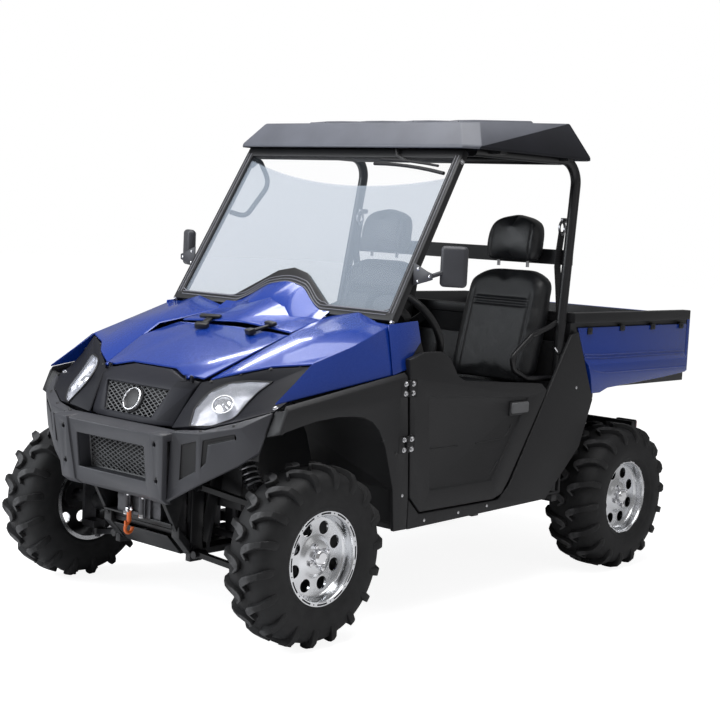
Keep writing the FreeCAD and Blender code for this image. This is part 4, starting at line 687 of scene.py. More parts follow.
def second_finish_and_shade(piece_name, chosen):
    """Give the faces that the test chooses the piece's second finish, which on the roof is painted shade."""
    for polygon in bpy.data.objects[piece_name].data.polygons:
        if chosen(polygon.center, polygon.normal):
            polygon.material_index = 1


second_finish_and_shade("front_fascia_rounded", lambda place, normal: abs(place.x) > 0.205)
# painted shade: the roof's sides and underside take the darker bezel grey
second_finish_and_shade("roof_rounded", lambda place, normal: abs(normal.x) > 0.8 or normal.z < -0.5)
second_finish_and_shade("tailgate_rounded", lambda place, normal: normal.y < -0.5)

# %% [markdown]
# ## A thinner roof
# The real roof is a thin shell, whose front lip shows only a narrow edge. The model's solid is
# deeper there, so the copy's lowest points are raised to one height, which leaves the top alone.

# %% Thin the roof
roof_lift = 0.030
roof_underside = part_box("roof")[0].z + roof_lift
for v in bpy.data.objects["roof_rounded"].data.vertices:
    v.co.z = max(v.co.z, roof_underside)
print("roof's underside at", round(roof_underside, 3))

# %% [markdown]
# ## Things that repeat
# Lugs, nuts and screws are all one small shape set many times. Geometry Nodes do that: one tree
# turns copies round an axle, another sets copies on given points so that each faces its own way,
# a third lays a round wire along every edge of a mesh, and a fourth winds a coil spring. Each ends
# in real mesh, not in instances, and asks for its sizes by name.

# %% Repeating trees
class Growth(Tree):
    """A Geometry Nodes tree with named inputs that gives back a plain mesh."""

    def __init__(self, name, **inputs):
        super().__init__(bpy.data.node_groups.new(name, "GeometryNodeTree"))
        face = self.tree.interface
        face.new_socket("Geometry", in_out="INPUT", socket_type="NodeSocketGeometry")
        self.keys = {}
        for label, kind in (*inputs.items(), ("Finish", "Material")):
            made = face.new_socket(label, in_out="INPUT", socket_type="NodeSocket" + kind)
            self.keys[label] = made.identifier
        face.new_socket("Geometry", in_out="OUTPUT", socket_type="NodeSocketGeometry")
        self.source = self.tree.nodes.new("NodeGroupInput")

    def given(self, label):
        return Signal(self, self.source.outputs[label])

    def finish(self, geometry):
        real = self.node("GeometryNodeRealizeInstances", {0: geometry})
        painted = self.node("GeometryNodeSetMaterial", {"Geometry": real, "Material": self.given("Finish")})
        sink = self.tree.nodes.new("NodeGroupOutput")
        self.feed(sink.inputs[0], painted)

    def set_copies(self, points, rotation):
        """End with copies of the given Shape, one on each point and turned by the rotation."""
        shape = self.node("GeometryNodeObjectInfo", {"Object": self.given("Shape")}, "Geometry")
        copies = {"Points": points, "Instance": shape, "Rotation": rotation}
        self.finish(self.node("GeometryNodeInstanceOnPoints", copies))

    def sweep_round(self, path, sides, radius):
        """End with a round section swept along a curve, whose ends are closed."""
        section = self.node("GeometryNodeCurvePrimitiveCircle", {"Resolution": sides, "Radius": radius})
        swept = {"Curve": path, "Profile Curve": section, "Fill Caps": True}
        self.finish(self.node("GeometryNodeCurveToMesh", swept))

    def grow(self, host_mesh=None, **values):
        """Mesh of the tree on a host. Its finish is a stand-in: new_piece gives the last one."""
        host = linked("host", host_mesh or bpy.data.meshes.new("host"))
        modifier = host.modifiers.new("grow", "NODES")
        modifier.node_group = self.tree
        for label, value in dict(values, Finish=finishes["trim_black"]).items():
            modifier[self.keys[label]] = value
        mesh = evaluated(host)
        bpy.data.objects.remove(host)
        return mesh


def make_ring_growth():
    ring = Growth("round_an_axle", Shape="Object", Count="Int", First_turn="Float")
    line = ring.node("GeometryNodeMeshLine", {"Count": ring.given("Count"), "Offset": (0, 0, 0)})
    step = ring.node("ShaderNodeMath", {0: math.tau, 1: ring.given("Count")}, operation="DIVIDE")
    turned = {0: ring.node("GeometryNodeInputIndex"), 1: step, 2: ring.given("First_turn")}
    turn = ring.node("ShaderNodeMath", turned, operation="MULTIPLY_ADD")
    angles = ring.node("ShaderNodeCombineXYZ", {"X": turn})
    ring.set_copies(line, ring.node("FunctionNodeEulerToRotation", {0: angles}))
    return ring


def make_place_growth():
    places = Growth("on_given_places", Shape="Object")
    facing = places.node("GeometryNodeInputNamedAttribute", {"Name": "facing"}, data_type="FLOAT_VECTOR")
    rotation = places.node("FunctionNodeAlignRotationToVector", {"Vector": facing}, axis="Z")
    places.set_copies(places.given("Geometry"), rotation)
    return places


def make_wire_growth():
    wires = Growth("wire_on_edges", Radius="Float", Sides="Int")
    paths = wires.node("GeometryNodeMeshToCurve", {0: wires.given("Geometry")})
    wires.sweep_round(paths, wires.given("Sides"), wires.given("Radius"))
    return wires


def make_spring_growth():
    spring = Growth("coil_spring", Turns="Float", Coil_radius="Float", Length="Float", Wire="Float")
    radius = spring.given("Coil_radius")
    spiral = {"Resolution": 20, "Rotations": spring.given("Turns"), "Start Radius": radius,
              "End Radius": radius, "Height": spring.given("Length")}
    spring.sweep_round(spring.node("GeometryNodeCurveSpiral", spiral), 8, spring.given("Wire"))
    return spring


ring_growth = make_ring_growth()
place_growth = make_place_growth()
wire_growth = make_wire_growth()
spring_growth = make_spring_growth()
print("trees:", ", ".join(item.tree.name for item in (ring_growth, place_growth, wire_growth, spring_growth)))

# %% [markdown]
# ## Screws and rods
# Two functions put the trees to use. One sets a screw or bolt on a list of places, each of which
# says which way it faces. The other turns lines of points into round rods, such as a handle.

# %% Screws and rods
def shape_object(name, mesh):
    """Object that a tree repeats; it is never linked to the scene itself."""
    return bpy.data.objects.new(name, mesh)


def fasteners(name, body, shape, places, finish):
    """Copies of a shape on (point, facing) places, with y given from the front axle."""
    host = bpy.data.meshes.new(name)
    host.from_pydata([(x, along(y), z) for (x, y, z), _ in places], [], [])
    facing = host.attributes.new("facing", "FLOAT_VECTOR", "POINT")
    for item, (_, direction) in zip(facing.data, places):
        item.vector = direction
    new_piece(name, smoothed(place_growth.grow(host, Shape=shape), 45), body, finish)


def wired(lines, radius, sides=8):
    """Round rods along polylines of finished points in metres."""
    points = []
    edges = []
    for line in lines:
        start = len(points)
        points += line
        edges += [(start + i, start + i + 1) for i in range(len(line) - 1)]
    host = bpy.data.meshes.new("lines")
    host.from_pydata(points, edges, [])
    return smoothed(wire_growth.grow(host, Radius=radius, Sides=sides), 50)


def rounded_path(corners, radius, steps=6):
    """Polyline through corners whose bends are arcs, for rods and tubes."""
    points = [Vector(corners[0])]
    for before, corner, after in zip(corners, corners[1:], corners[2:]):
        before, corner, after = Vector(before), Vector(corner), Vector(after)
        reach = min(radius, (corner - before).length * 0.48, (after - corner).length * 0.48)
        first = corner + (before - corner).normalized() * reach
        last = corner + (after - corner).normalized() * reach
        for k in range(steps + 1):
            share = k / steps
            points.append(first * (1 - share) ** 2 + corner * 2 * share * (1 - share) + last * share ** 2)
    points.append(Vector(corners[-1]))
    return points


# %% [markdown]
# ## Wheels
# A wheel is turned, so it starts as an outline spun round the axle. The rim is a machined
# alloy one: eight round holes go through its dish, and the flat lip carries dark slots and dots.
# Holes are cut with booleans, because a through-hole shows the rim's inside, whose back faces are
# painted dark as painted shade. The tyre is a second outline, and its angled tread bars are grown
# round it on both sides, half a step apart.

# %% Turned shapes
def lathe(name, outline, sides=96, axis="X"):
    """Closed (place, radius) outline turned round an axis."""
    rings = []
    for k in range(sides):
        c, s = math.cos(math.tau * k / sides), math.sin(math.tau * k / sides)
        if axis == "X":
            rings.append([(a, r * s, r * c) for a, r in outline])
        else:
            rings.append([(r * c, r * s, a) for a, r in outline])
    return skinned(name, rings, first=False, last=False, around=True)


def dome(name, radius, height, sides=12, foot=0.002):
    """Pan head that stands on the XY plane."""
    outline = [(-foot, 0), (-foot, radius), (height * 0.35, radius), (height * 0.8, radius * 0.72),
               (height, radius * 0.3), (height, 0)]
    return lathe(name, outline, sides, "Z")


def hex_nut(name, radius, height, foot=0.002):
    outline = [(-foot, 0), (-foot, radius), (height * 0.8, radius), (height * 0.92, radius * 0.9),
               (height, radius * 0.55), (height, 0)]
    return lathe(name, outline, 6, "Z")


# %% Rims
rim_outline = [(-0.0015, 0.1654), (0, 0.1642), (0, 0.1512), (-0.0015, 0.1498), (-0.012, 0.1466),
               (-0.030, 0.1450),
               (-0.040, 0.1425), (-0.0455, 0.1370), (-0.0468, 0.128), (-0.0450, 0.078), (-0.0435, 0.071),
               (-0.0355, 0.061), (-0.0330, 0.056), (-0.0325, 0.030), (-0.0325, 0.024), (-0.075, 0.024),
               (-0.075, 0.056), (-0.055, 0.060), (-0.055, 0.136)]
hole_count, hole_radius, hole_circle = 8, 0.0235, 0.104
slot_count, slot_angle, slot_depth = 12, 0.30, 0.0025
slot_inner, slot_outer = 0.1545, 0.1605
dot_radius, dot_circle = 0.0027, 0.1575
# painted shade: the dish's back and the inner barrel, seen through the holes, are painted dark
behind_dish, barrel_inside = -0.0525, 0.152    # what lies deeper is painted dark


def barrel_outline(width):
    """The rim's outer barrel, from its back to the face again, for a rim of some width."""
    return [(-0.064, 0.1455), (0.012 - width, 0.1465), (0.002 - width, 0.150), (-width, 0.1654),
            (0.010 - width, 0.1654), (0.0125 - width, 0.152), (-0.0125, 0.152), (-0.010, 0.1654)]


def wedge(bm, inner, outer, middle, span, low, high, steps=5):
    """Curved block between two radii, over an angle, as a cutter for the lip."""
    rows = []
    for k in range(steps + 1):
        a = middle + span * (k / steps - 0.5)
        corners = ((low, inner), (low, outer), (high, outer), (high, inner))
        rows.append([(x, r * math.sin(a), r * math.cos(a)) for x, r in corners])
    skin(bm, rows)


def round_cutter(bm, radius, circle, turn, low, high, sides=24):
    """Round block through the dish, with its middle on a circle round the axle."""
    middle_y, middle_z = circle * math.sin(turn), circle * math.cos(turn)
    corners = [math.tau * k / sides for k in range(sides)]
    skin(bm, [[(x, middle_y + radius * math.cos(a), middle_z + radius * math.sin(a)) for a in corners]
              for x in (low, high)])


def rim_mesh(width):
    body = lathe("rim", rim_outline + barrel_outline(width))
    holes = bmesh.new()
    for k in range(hole_count):
        round_cutter(holes, hole_radius, hole_circle, math.tau * (k + 0.5) / hole_count, -0.09, -0.03)
    body = carved(body, mesh_of("holes", holes), 0)
    slots = bmesh.new()
    for k in range(slot_count):
        turn = math.tau * k / slot_count
        wedge(slots, slot_inner, slot_outer, turn, slot_angle, -slot_depth, 0.004)
        round_cutter(slots, dot_radius, dot_circle, turn + math.pi / slot_count, -slot_depth, 0.004, 10)
    done = carved(body, mesh_of("slots", slots), 1)
    # painted shade: faces behind the dish and inside the barrel take the dark second finish
    for polygon in done.polygons:
        middle = polygon.center
        if middle.x < behind_dish and math.hypot(middle.y, middle.z) < barrel_inside:
            polygon.material_index = 1
    return smoothed(done, 32)


cap_outline = [(-0.034, 0), (-0.034, 0.030), (-0.020, 0.029), (-0.012, 0.0265), (-0.008, 0.022),
               (-0.0062, 0.0195), (-0.0075, 0.0185), (-0.0075, 0.012), (-0.0068, 0)]
facing_x = Matrix.Rotation(math.radians(90), 4, "Y")
nut = moved(hex_nut("nut", 0.0095, 0.017), Matrix.Translation((-0.034, 0, 0.044)) @ facing_x)
nut_ring = ring_growth.grow(Shape=shape_object("wheel_nut", nut), Count=4, First_turn=0.4)
print("ring of nuts", len(nut_ring.polygons), "faces")

# %% Tyres
sidewall = [(0.077, 0.1530), (0.083, 0.160), (0.0905, 0.170), (0.0935, 0.174), (0.0955, 0.181),
            (0.0952, 0.186), (0.0970, 0.190), (0.0978, 0.215), (0.0968, 0.240), (0.0925, 0.262),
            (0.0830, 0.279), (0.068, 0.2905), (0.045, 0.2970), (0.020, 0.2990)]
narrow_width = 0.203    # width of the front tyre, for which the outlines are given
bars_a_side = 18
bar_stations = (
    ((0.003, 0.3170), (0.003, 0.290), 0.000, 0.030), ((0.016, 0.3175), (0.016, 0.290), 0.020, 0.052),
    ((0.034, 0.3172), (0.034, 0.290), 0.052, 0.046), ((0.058, 0.3150), (0.056, 0.286), 0.085, 0.034),
    ((0.080, 0.3075), (0.072, 0.280), 0.110, 0.036), ((0.0945, 0.2900), (0.082, 0.272), 0.125, 0.044),
    ((0.1010, 0.2640), (0.090, 0.254), 0.132, 0.048), ((0.0985, 0.2420), (0.0945, 0.238), 0.136, 0.036))
barb_stations = (
    ((0.005, 0.3170), (0.005, 0.290), -0.010, 0.026), ((0.018, 0.3173), (0.018, 0.290), -0.050, 0.020),
    ((0.030, 0.3168), (0.030, 0.290), -0.085, 0.012))


def tread_bar(stations, stretch):
    """Bar over stations of (top), (foot), lean and half width, the last two as angles."""
    rows = []
    for (x_top, r_top), (x_low, r_low), lean, half in stations:
        corners = ((x_low, r_low, -1.25), (x_top, r_top, -1), (x_top, r_top, 1), (x_low, r_low, 1.25))
        rows.append([(x * stretch, r * math.sin(lean + side * half), r * math.cos(lean + side * half))
                     for x, r, side in corners])
    return skinned("tread_bar", rows)


def tyre_mesh(width):
    stretch = width / narrow_width
    half = [(x * stretch, r) for x, r in sidewall]
    carcass = smoothed(lathe("tyre", half + [(-x, r) for x, r in reversed(half)]), 35)
    bar = merged(tread_bar(bar_stations, stretch), tread_bar(barb_stations, stretch))
    worn_edge = {"width": 0.0018, "segments": 1, "limit_method": "ANGLE", "angle_limit": math.radians(40)}
    soft = settled(bar, ("BEVEL", worn_edge))
    halves = [ring_growth.grow(Shape=shape_object("bar", mesh), Count=bars_a_side, First_turn=turn)
              for mesh, turn in ((soft, 0.0), (mirrored(soft), math.pi / bars_a_side))]
    return merged(carcass, smoothed(merged(*halves), 30))


print("tread with", 2 * bars_a_side, "bars round a tyre")

# %% [markdown]
# ## Setting the wheels
# The rims and tyres are made once for each axle, at the origin, and moved to their places. A
# mirrored copy serves the right side, so that the tread points the same way on both.

# %% Set the wheels
hub_cap = smoothed(merged(lathe("hub_cap", cap_outline, 48), nut_ring), 40)
for axle in ("front", "rear"):
    rim, tyre = "rim_" + axle, "tyre_" + axle
    low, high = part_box(rim + "_left")
    tyre_low, tyre_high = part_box(tyre + "_left")
    alloy = rim_mesh(high.x - low.x)
    rubber_part = tyre_mesh(tyre_high.x - tyre_low.x)
    middle = Vector((0, (low.y + high.y) / 2, (low.z + high.z) / 2))
    rim_face = Matrix.Translation(middle + Vector((high.x, 0, 0)))
    tyre_middle = Matrix.Translation(middle + Vector(((tyre_low.x + tyre_high.x) / 2, 0, 0)))
    for side, flip in mirror_x.items():
        wheel = "%s_%s_wheel" % (axle, side)
        place = "%s_%s" % (axle, side)
        new_piece("alloy_rim_" + place, moved(alloy, flip @ rim_face), wheel, ("rim_silver", "trim_black"),
                  "rim_silver", ("rim_" + place,))
        new_piece("hub_cap_" + place, moved(hub_cap, flip @ rim_face), wheel, "chrome_bright")
        new_piece("tread_tyre_" + place, moved(rubber_part, flip @ tyre_middle), wheel, "tyre_black", None,
                  ("tyre_" + place,))

# %% [markdown]
# ## Seats
# Each seat is foam under grained vinyl. A foam pad has no flat face, so the plain block of the
# model is remeshed to small even faces, blown up a little with a cloth simulation whose travel is
# capped, and subdivided. The stitched channels come last, pressed in along the surface's normal,
# because the remesh would erase them. The right seat is a mirrored copy of the left one.

# %% Padded pieces
pad_cap = 0.010         # how far the foam may swell
pad_shrink = 0.004      # how far it is drawn in first
pad_frames = 20


def blown_up(base):
    """The pad's mesh after a short cloth simulation with air pressure and no gravity."""
    work = linked("pad", base)
    cloth = work.modifiers.new("cloth", "CLOTH")
    cloth.settings.use_pressure = True
    cloth.settings.uniform_pressure_force = 4.0
    cloth.settings.effector_weights.gravity = 0
    cloth.settings.quality = 4
    cloth.settings.bending_stiffness = 2.0
    cloth.point_cache.frame_start = 1
    cloth.point_cache.frame_end = pad_frames
    for step in range(1, pad_frames + 1):
        bpy.context.scene.frame_set(step)
    blown = evaluated(work)
    bpy.context.scene.frame_set(1)
    bpy.data.objects.remove(work)
    return blown


def inflated(mesh, voxel, shape=None):
    """Remeshed, shaped and softly blown up, with no point moved further than the cap."""
    even = {"mode": "VOXEL", "voxel_size": voxel}
    base = settled(mesh, ("REMESH", even), ("SMOOTH", {"factor": 0.8, "iterations": 6}))
    if shape:
        for v in base.vertices:
            v.co = shape(v.co)
        base.update()
    start = [v.co - v.normal * pad_shrink for v in base.vertices]
    for v, place in zip(base.vertices, start):
        v.co = place
    base = blown_up(base)
    for v, place in zip(base.vertices, start):
        travel = v.co - place
        if travel.length > pad_cap:
            v.co = place + travel * (pad_cap / travel.length)
    smooth = ("SMOOTH", {"factor": 0.5, "iterations": 2})
    return settled(base, ("SUBSURF", {"levels": 1, "render_levels": 1}), smooth)


def press(mesh, distance, depth, width, where):
    """Press a seam: points near distance zero sink along their normal, where the mask says so."""
    normals = [v.normal.copy() for v in mesh.vertices]
    for v, normal in zip(mesh.vertices, normals):
        share = where(v.co, normal)
        if share > 0:
            v.co = v.co - normal * (depth * share * math.exp(-(distance(v.co) / width) ** 2))
    mesh.update()


def clamp01(value):
    return max(0.0, min(1.0, value))


print("pads swell by", pad_cap, "at most")

# %% [markdown]
# ## Seat backs, cushions and headrests
# The back and the headrest narrow towards a rounded top, as a bucket seat does. Each seam is one
# press into the pad. It says how far a point is from the seam's plane, how deep and how wide the
# channel is, and where it runs, so that it stays on the face that one sees.

# %% Seats
seat_inside = 0.142
seat_middle = (seat_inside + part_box("seat_cushions")[1].x) / 2
pad_voxel = 0.011


def left_half(node):
    return merged_copy(node, lambda place: place.x > 0)


def domed(low, high, start, power):
    """Shaper that rounds the top corners of a pad seen from the front."""
    def shape(place):
        rise = clamp01(((place.z - low.z) / (high.z - low.z) - start) / (1 - start))
        narrow = (1 - rise ** power) ** (1 / power) if rise < 1 else 0.0
        return Vector((seat_middle + (place.x - seat_middle) * (0.30 + 0.70 * narrow), place.y, place.z))

    return shape


def seat_back_mesh():
    low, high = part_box("seat_backs")
    mesh = inflated(left_half("seat_backs"), pad_voxel, domed(low, high, 0.80, 2.6))

    def front(normal):
        return clamp01((-normal.y - 0.25) * 3)

    for share in (0.325, 0.28):
        z = high.z - share * (high.z - low.z)
        press(mesh, lambda p, z=z: p.z - z, 0.006, 0.006,
              lambda p, n: front(n) * clamp01((0.145 - abs(p.x - seat_middle)) * 40))
    for offset in (-0.148, 0.148):
        press(mesh, lambda p, x=seat_middle + offset: p.x - x, 0.004, 0.007,
              lambda p, n: front(n) * clamp01((high.z - 0.09 - p.z) * 30))
    return mesh


def cushion_mesh():
    low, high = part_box("seat_cushions")
    mesh = inflated(left_half("seat_cushions"), pad_voxel)

    def top(place, normal):
        return clamp01((normal.z - 0.3) * 3)

    for share in (0.42, 0.50):
        press(mesh, lambda p, y=low.y + share * (high.y - low.y): p.y - y, 0.007, 0.006, top)
    for offset in (-0.135, 0.135):
        press(mesh, lambda p, x=seat_middle + offset: p.x - x, 0.006, 0.006, top)
    edge = low.z + 0.62 * (high.z - low.z)
    press(mesh, lambda p: p.z - edge, 0.004, 0.004, lambda p, n: clamp01(1 - 2 * abs(n.z)))
    return mesh


def headrest_mesh():
    low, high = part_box("headrests")
    rounder = domed(low, high, 0.30, 2.4)
    skirt, drop = 0.05, 0.032    # the lowest 5 cm are drawn down, over the posts

    def shape(place):
        return rounder(place) - Vector((0, 0, drop * clamp01((low.z + skirt - place.z) / skirt)))

    mesh = inflated(left_half("headrests"), 0.008, shape)
    press(mesh, lambda p: abs(p.x - seat_middle) - 0.10, 0.0025, 0.004,
          lambda p, n: clamp01((-n.y - 0.3) * 3))
    return mesh


for name, node, make in (("padded_back", "seat_backs", seat_back_mesh),
                         ("padded_cushion", "seat_cushions", cushion_mesh),
                         ("padded_headrest", "headrests", headrest_mesh)):
    soft = smoothed(make(), 80)
    for side, mesh in (("left", soft), ("right", mirrored(soft))):
        pad = new_piece(name + "_" + side, mesh, "chassis", "seat_black", None, (node,))

# %% [markdown]
# ## Headlamps
# Behind each clear lens is a pale moulded bowl with a bright round reflector. The lens is a thin
# crowned shell and lies in a black seal. The opening's outline is given in the lamp's own sloping
# plane, so a few turns and scales of that one outline make the bowl, the lens and the seal.

# %% Lamp's plane
lamp_shares = ((0, 0), (-0.016, 0.333), (0.123, 0.692), (0.376, 0.907), (0.689, 0.98), (0.985, 0.998),
               (0.84, 0.80), (0.722, 0.54), (0.616, 0.257), (0.474, 0.137), (0.283, 0.028))
lamp_corners = (0, 5)    # points of the outline that stay sharp
lamp_middle_a, lamp_middle_b = 0.45, 0.52
lamp_width, lamp_height = 0.245, 0.211
lamp_turn, lamp_lean = math.radians(25.6), math.radians(48.2)
lamp_across = Vector((math.cos(lamp_turn), math.sin(lamp_turn), 0))
lamp_back = Vector((-math.sin(lamp_turn), math.cos(lamp_turn), 0))
lamp_up = lamp_back * math.cos(lamp_lean) + Vector((0, 0, math.sin(lamp_lean)))
lamp_out = lamp_across.cross(lamp_up)
lamp_foot = Vector((0.338, along(-0.287), 0.741))


def lamp_place(a, b, out):
    """Point in the lamp's plane by its shares across and up, and its height above the plane."""
    return lamp_foot + lamp_across * (a * lamp_width) + lamp_up * (b * lamp_height) + lamp_out * out


def lamp_ring(scale, out, steps=5):
    """Closed smooth ring, scaled about the lamp's middle."""
    ring = []
    count = len(lamp_shares)
    for i in range(count):
        p = [Vector(lamp_shares[(i + k) % count]) for k in (-1, 0, 1, 2)]
        sharp = i in lamp_corners or (i + 1) % count in lamp_corners
        for k in range(steps):
            t = k / steps
            if sharp:
                q = p[1].lerp(p[2], t)
            else:
                q = 0.5 * ((2 * p[1]) + (p[2] - p[0]) * t + (2 * p[0] - 5 * p[1] + 4 * p[2] - p[3]) * t * t
                           + (3 * p[1] - p[0] - 3 * p[2] + p[3]) * t ** 3)
            a = lamp_middle_a + (q.x - lamp_middle_a) * scale
            b = lamp_middle_b + (q.y - lamp_middle_b) * scale
            ring.append(lamp_place(a, b, out))
    return ring


def lamp_shell(name, rings, wall):
    """Thin shell over lamp rings that are given as (scale, height above the lamp's plane)."""
    bm = bmesh.new()
    skin(bm, [lamp_ring(scale, out)[::-1] for scale, out in rings], first=False)
    return thick(baked(name, bm), wall)


print("a lamp leans back by", round(math.degrees(lamp_lean), 1), "degrees")

# %% Lamps
bowl = lamp_shell("bowl", ((0.985, -0.002), (0.96, -0.010), (0.80, -0.022), (0.45, -0.0265)), 0.0015)
lens = lamp_shell("lens", ((0.985, 0.0), (0.955, 0.0045), (0.82, 0.0095), (0.5, 0.0125)), 0.002)
seal_line = lamp_ring(1.0, 0.0015)
seal = wired([seal_line + [seal_line[0]]], 0.0034, 6)
reflector = lathe("reflector", [(0.0, 0.018), (0.006, 0.030), (0.013, 0.0345), (0.016, 0.036), (0.016, 0.038),
                                (0.010, 0.037), (0.002, 0.032), (-0.004, 0.018), (-0.006, 0.0),
                                (-0.004, 0.0)], 48, "Z")
bulb = lathe("bulb", [(-0.003, 0.0), (-0.003, 0.007), (0.008, 0.007), (0.014, 0.0045), (0.016, 0.0)], 20, "Z")
lamp_turned = Matrix((lamp_across, lamp_up, lamp_out)).transposed().to_4x4()
at_bowl = Matrix.Translation(lamp_place(0.36, 0.50, -0.020)) @ lamp_turned
for name, mesh, finish in (("lamp_bowls", bowl, "lamp_bowl"), ("lamp_seals", seal, "trim_black"),
                           ("lamp_reflectors", moved(merged(reflector, bulb), at_bowl), "chrome_bright")):
    new_piece(name, smoothed(both_sides(mesh), 55), "chassis", finish)
new_piece("lamp_lenses", smoothed(both_sides(lens), 60), "chassis", "lamp_clear", None, ("headlamps",))

# %% [markdown]
# ## Grilles and badge
# Both grille openings hold expanded-metal mesh, with diamonds 30 mm wide and 17 mm high. The
# strands are straight lines at two slants, clipped to the opening's trapezoid, and the wire tree
# gives them thickness. A short funnel lines the bumper's opening. The badge is a plain bright ring
# round a dark domed disc, and both are turned.

# %% Grilles
strand_pitch = 0.030
strand_slant = 0.55     # rise of a strand for each metre across
strand_radius = 0.0021


def grille_lines(half_low, half_high, height, samples=60):
    """Diagonal strands over an upright trapezoid, as pairs of (x, z) ends."""
    lines = []
    steps = int((half_high * 2 + height / strand_slant) / strand_pitch) + 2
    for direction in (-1, 1):
        for k in range(-steps, steps + 1):
            ends = []
            for m in range(samples + 1):
                z = height * m / samples
                x = k * strand_pitch + direction * z / strand_slant
                if abs(x) <= half_low + (half_high - half_low) * z / height:
                    ends.append((x, z))
            if len(ends) > 1:
                lines.append((ends[0], ends[-1]))
    return lines


def grille_mesh(half_low, half_high, z_low, y_low, z_high, y_high):
    """Strands and a border wire over an opening with a level foot and top."""
    rise = Vector((0, y_high - y_low, z_high - z_low))
    height = rise.length
    up = rise / height
    foot = Vector((0, along(y_low), z_low))
    corners = ((-half_low, 0), (half_low, 0), (half_high, height), (-half_high, height), (-half_low, 0))
    strands, border = ([[foot + Vector((x, 0, 0)) + up * z for x, z in line] for line in lines]
                       for lines in (grille_lines(half_low, half_high, height), [corners]))
    return merged(wired(strands, strand_radius, 6), wired(border, 0.004, 6))


nose_grille = grille_mesh(0.130, 0.174, 0.738, -0.2772, 0.841, -0.2284)
bumper_grille = grille_mesh(0.188, 0.188, 0.531, -0.2850, 0.661, -0.3000)
new_piece("diamond_mesh", merged(nose_grille, bumper_grille), "chassis", "paddle_grey", "mesh_black",
          ("grille_mesh",))

# %% Bumper's funnel
tunnel_corners = ((-0.190, 0.0, 0.528), (0.190, 0.0, 0.528), (0.190, -0.016, 0.664), (-0.190, -0.016, 0.664))
tunnel = skinned("tunnel", [laid([(x, y + start, z) for x, y, z in tunnel_corners])
                            for start in (-0.338, -0.280)],
                 first=False, last=False)
new_piece("grille_tunnel", smoothed(thick(tunnel, 0.003, 0.0), 30), "chassis", "fascia_grey")

# %% Badge
at_badge = Matrix.Translation((0, along(-0.2575), 0.792)) @ Matrix.Rotation(math.radians(64.7), 4, "X")
ring = lathe("badge_ring", [(0.0, 0.0370), (0.008, 0.0375), (0.0110, 0.0390), (0.0110, 0.0425),
                            (0.008, 0.0450), (0.0, 0.0450)], 64, "Z")
disc = lathe("badge_disc", [(-0.004, 0.0), (-0.004, 0.0490), (0.001, 0.0485), (0.002, 0.0470),
                            (0.002, 0.0385),
                            (0.0055, 0.0375), (0.0072, 0.030), (0.0086, 0.014), (0.0090, 0.0)], 48, "Z")
new_piece("badge_ring", smoothed(moved(ring, at_badge), 40), "chassis", "chrome_bright")
new_piece("badge_disc", smoothed(moved(disc, at_badge), 50), "chassis", "trim_black")

# %% [markdown]
# ## Fasteners
# The panels are held by visible bolts. Each place was measured once; the nearest point of the
# finished panel gives the exact seat and the direction to face, so a bolt never floats or leans.
# The same list mirrored serves the right side, because the machine is alike on both.

# %% Fasteners
pan_head = shape_object("pan_head", dome("pan_head", 0.0062, 0.0032, 12))
washer_head = merged(hex_nut("hex_head", 0.0078, 0.0070), dome("washer", 0.0105, 0.0018, 16))
big_head = shape_object("big_head", washer_head)


def seated(piece_name, points, both=True):
    """Nearest places on a finished piece, with their normals, for one side or for both."""
    piece = bpy.data.objects[piece_name]
    found = []
    for x, y, z in points:
        for sign in (1, -1) if both else (1,):
            _, place, normal, _ = piece.closest_point_on_mesh(Vector((sign * x, along(y), z)))
            found.append(((place.x, place.y - front_axle_y, place.z), tuple(normal)))
    return found


print("screw heads", len(pan_head.data.polygons), "and", len(big_head.data.polygons), "faces")

# %% Bolts and screws
bumper, nose, sides = "front_bumper_rounded", "front_fascia_rounded", "side_panels_rounded"
fenders, screen_frame = "front_fenders_rounded", "windshield_frame_rounded"
flange_screws = seated(bumper, [(0.290, -0.312, 0.731), (0.399, -0.2915, 0.733), (0.508, -0.243, 0.763)])
bezel_screws = seated(nose, [(0.385, -0.105, 0.920), (0.300, -0.162, 0.883), (0.470, -0.045, 0.945),
                             (0.556, 0.016, 0.966), (0.608, -0.035, 0.920), (0.612, -0.09, 0.86)])
plate_screws = seated(bumper, [(0.254, -0.371, 0.674), (0.254, -0.358, 0.547)])
fender_screws = seated(fenders, [(0.67, 0.417, 0.635), (0.67, 0.30, 0.66)])
fender_bolts = seated(fenders, [(0.67, 0.466, 0.475)])
sill_bolts = seated(sides, [(0.67, 0.599, 0.368), (0.67, 0.801, 0.374), (0.67, 0.979, 0.380),
                            (0.67, 1.550, 0.814)])
corner_bolts = seated(nose, [(0.583, -0.125, 0.822)])
screen_bolts = seated(screen_frame, [(0.596, 0.438, 1.108), (0.585, 0.80, 1.70)])
fasteners("flange_screws", "chassis", pan_head, flange_screws + bezel_screws, "black_screw")
fasteners("fender_screws", "chassis", pan_head, fender_screws + plate_screws, "black_screw")
fasteners("sill_bolts", "chassis", pan_head, sill_bolts + fender_bolts, "zinc_bolt")
fasteners("corner_bolts", "chassis", big_head, corner_bolts + screen_bolts, "zinc_bolt")

# %% Hinge bolts
hinge_column = [(0.67, 0.452, 0.8848), (0.67, 0.452, 0.8506), (0.67, 0.458, 0.6811), (0.67, 0.458, 0.6441)]
door_leaf = 0.041    # from a hinge's fixed bolts to those on the door
fasteners("hinge_bolts_fixed", "chassis", big_head, seated(fenders, hinge_column), "zinc_bolt")
for side, sign in side_signs:
    leaf = [(sign * x, y + door_leaf, z) for x, y, z in hinge_column]
    on_door = seated("door_%s_rounded" % side, leaf, False)
    fasteners("hinge_bolts_" + side, side + "_door", big_head, on_door, "zinc_bolt")

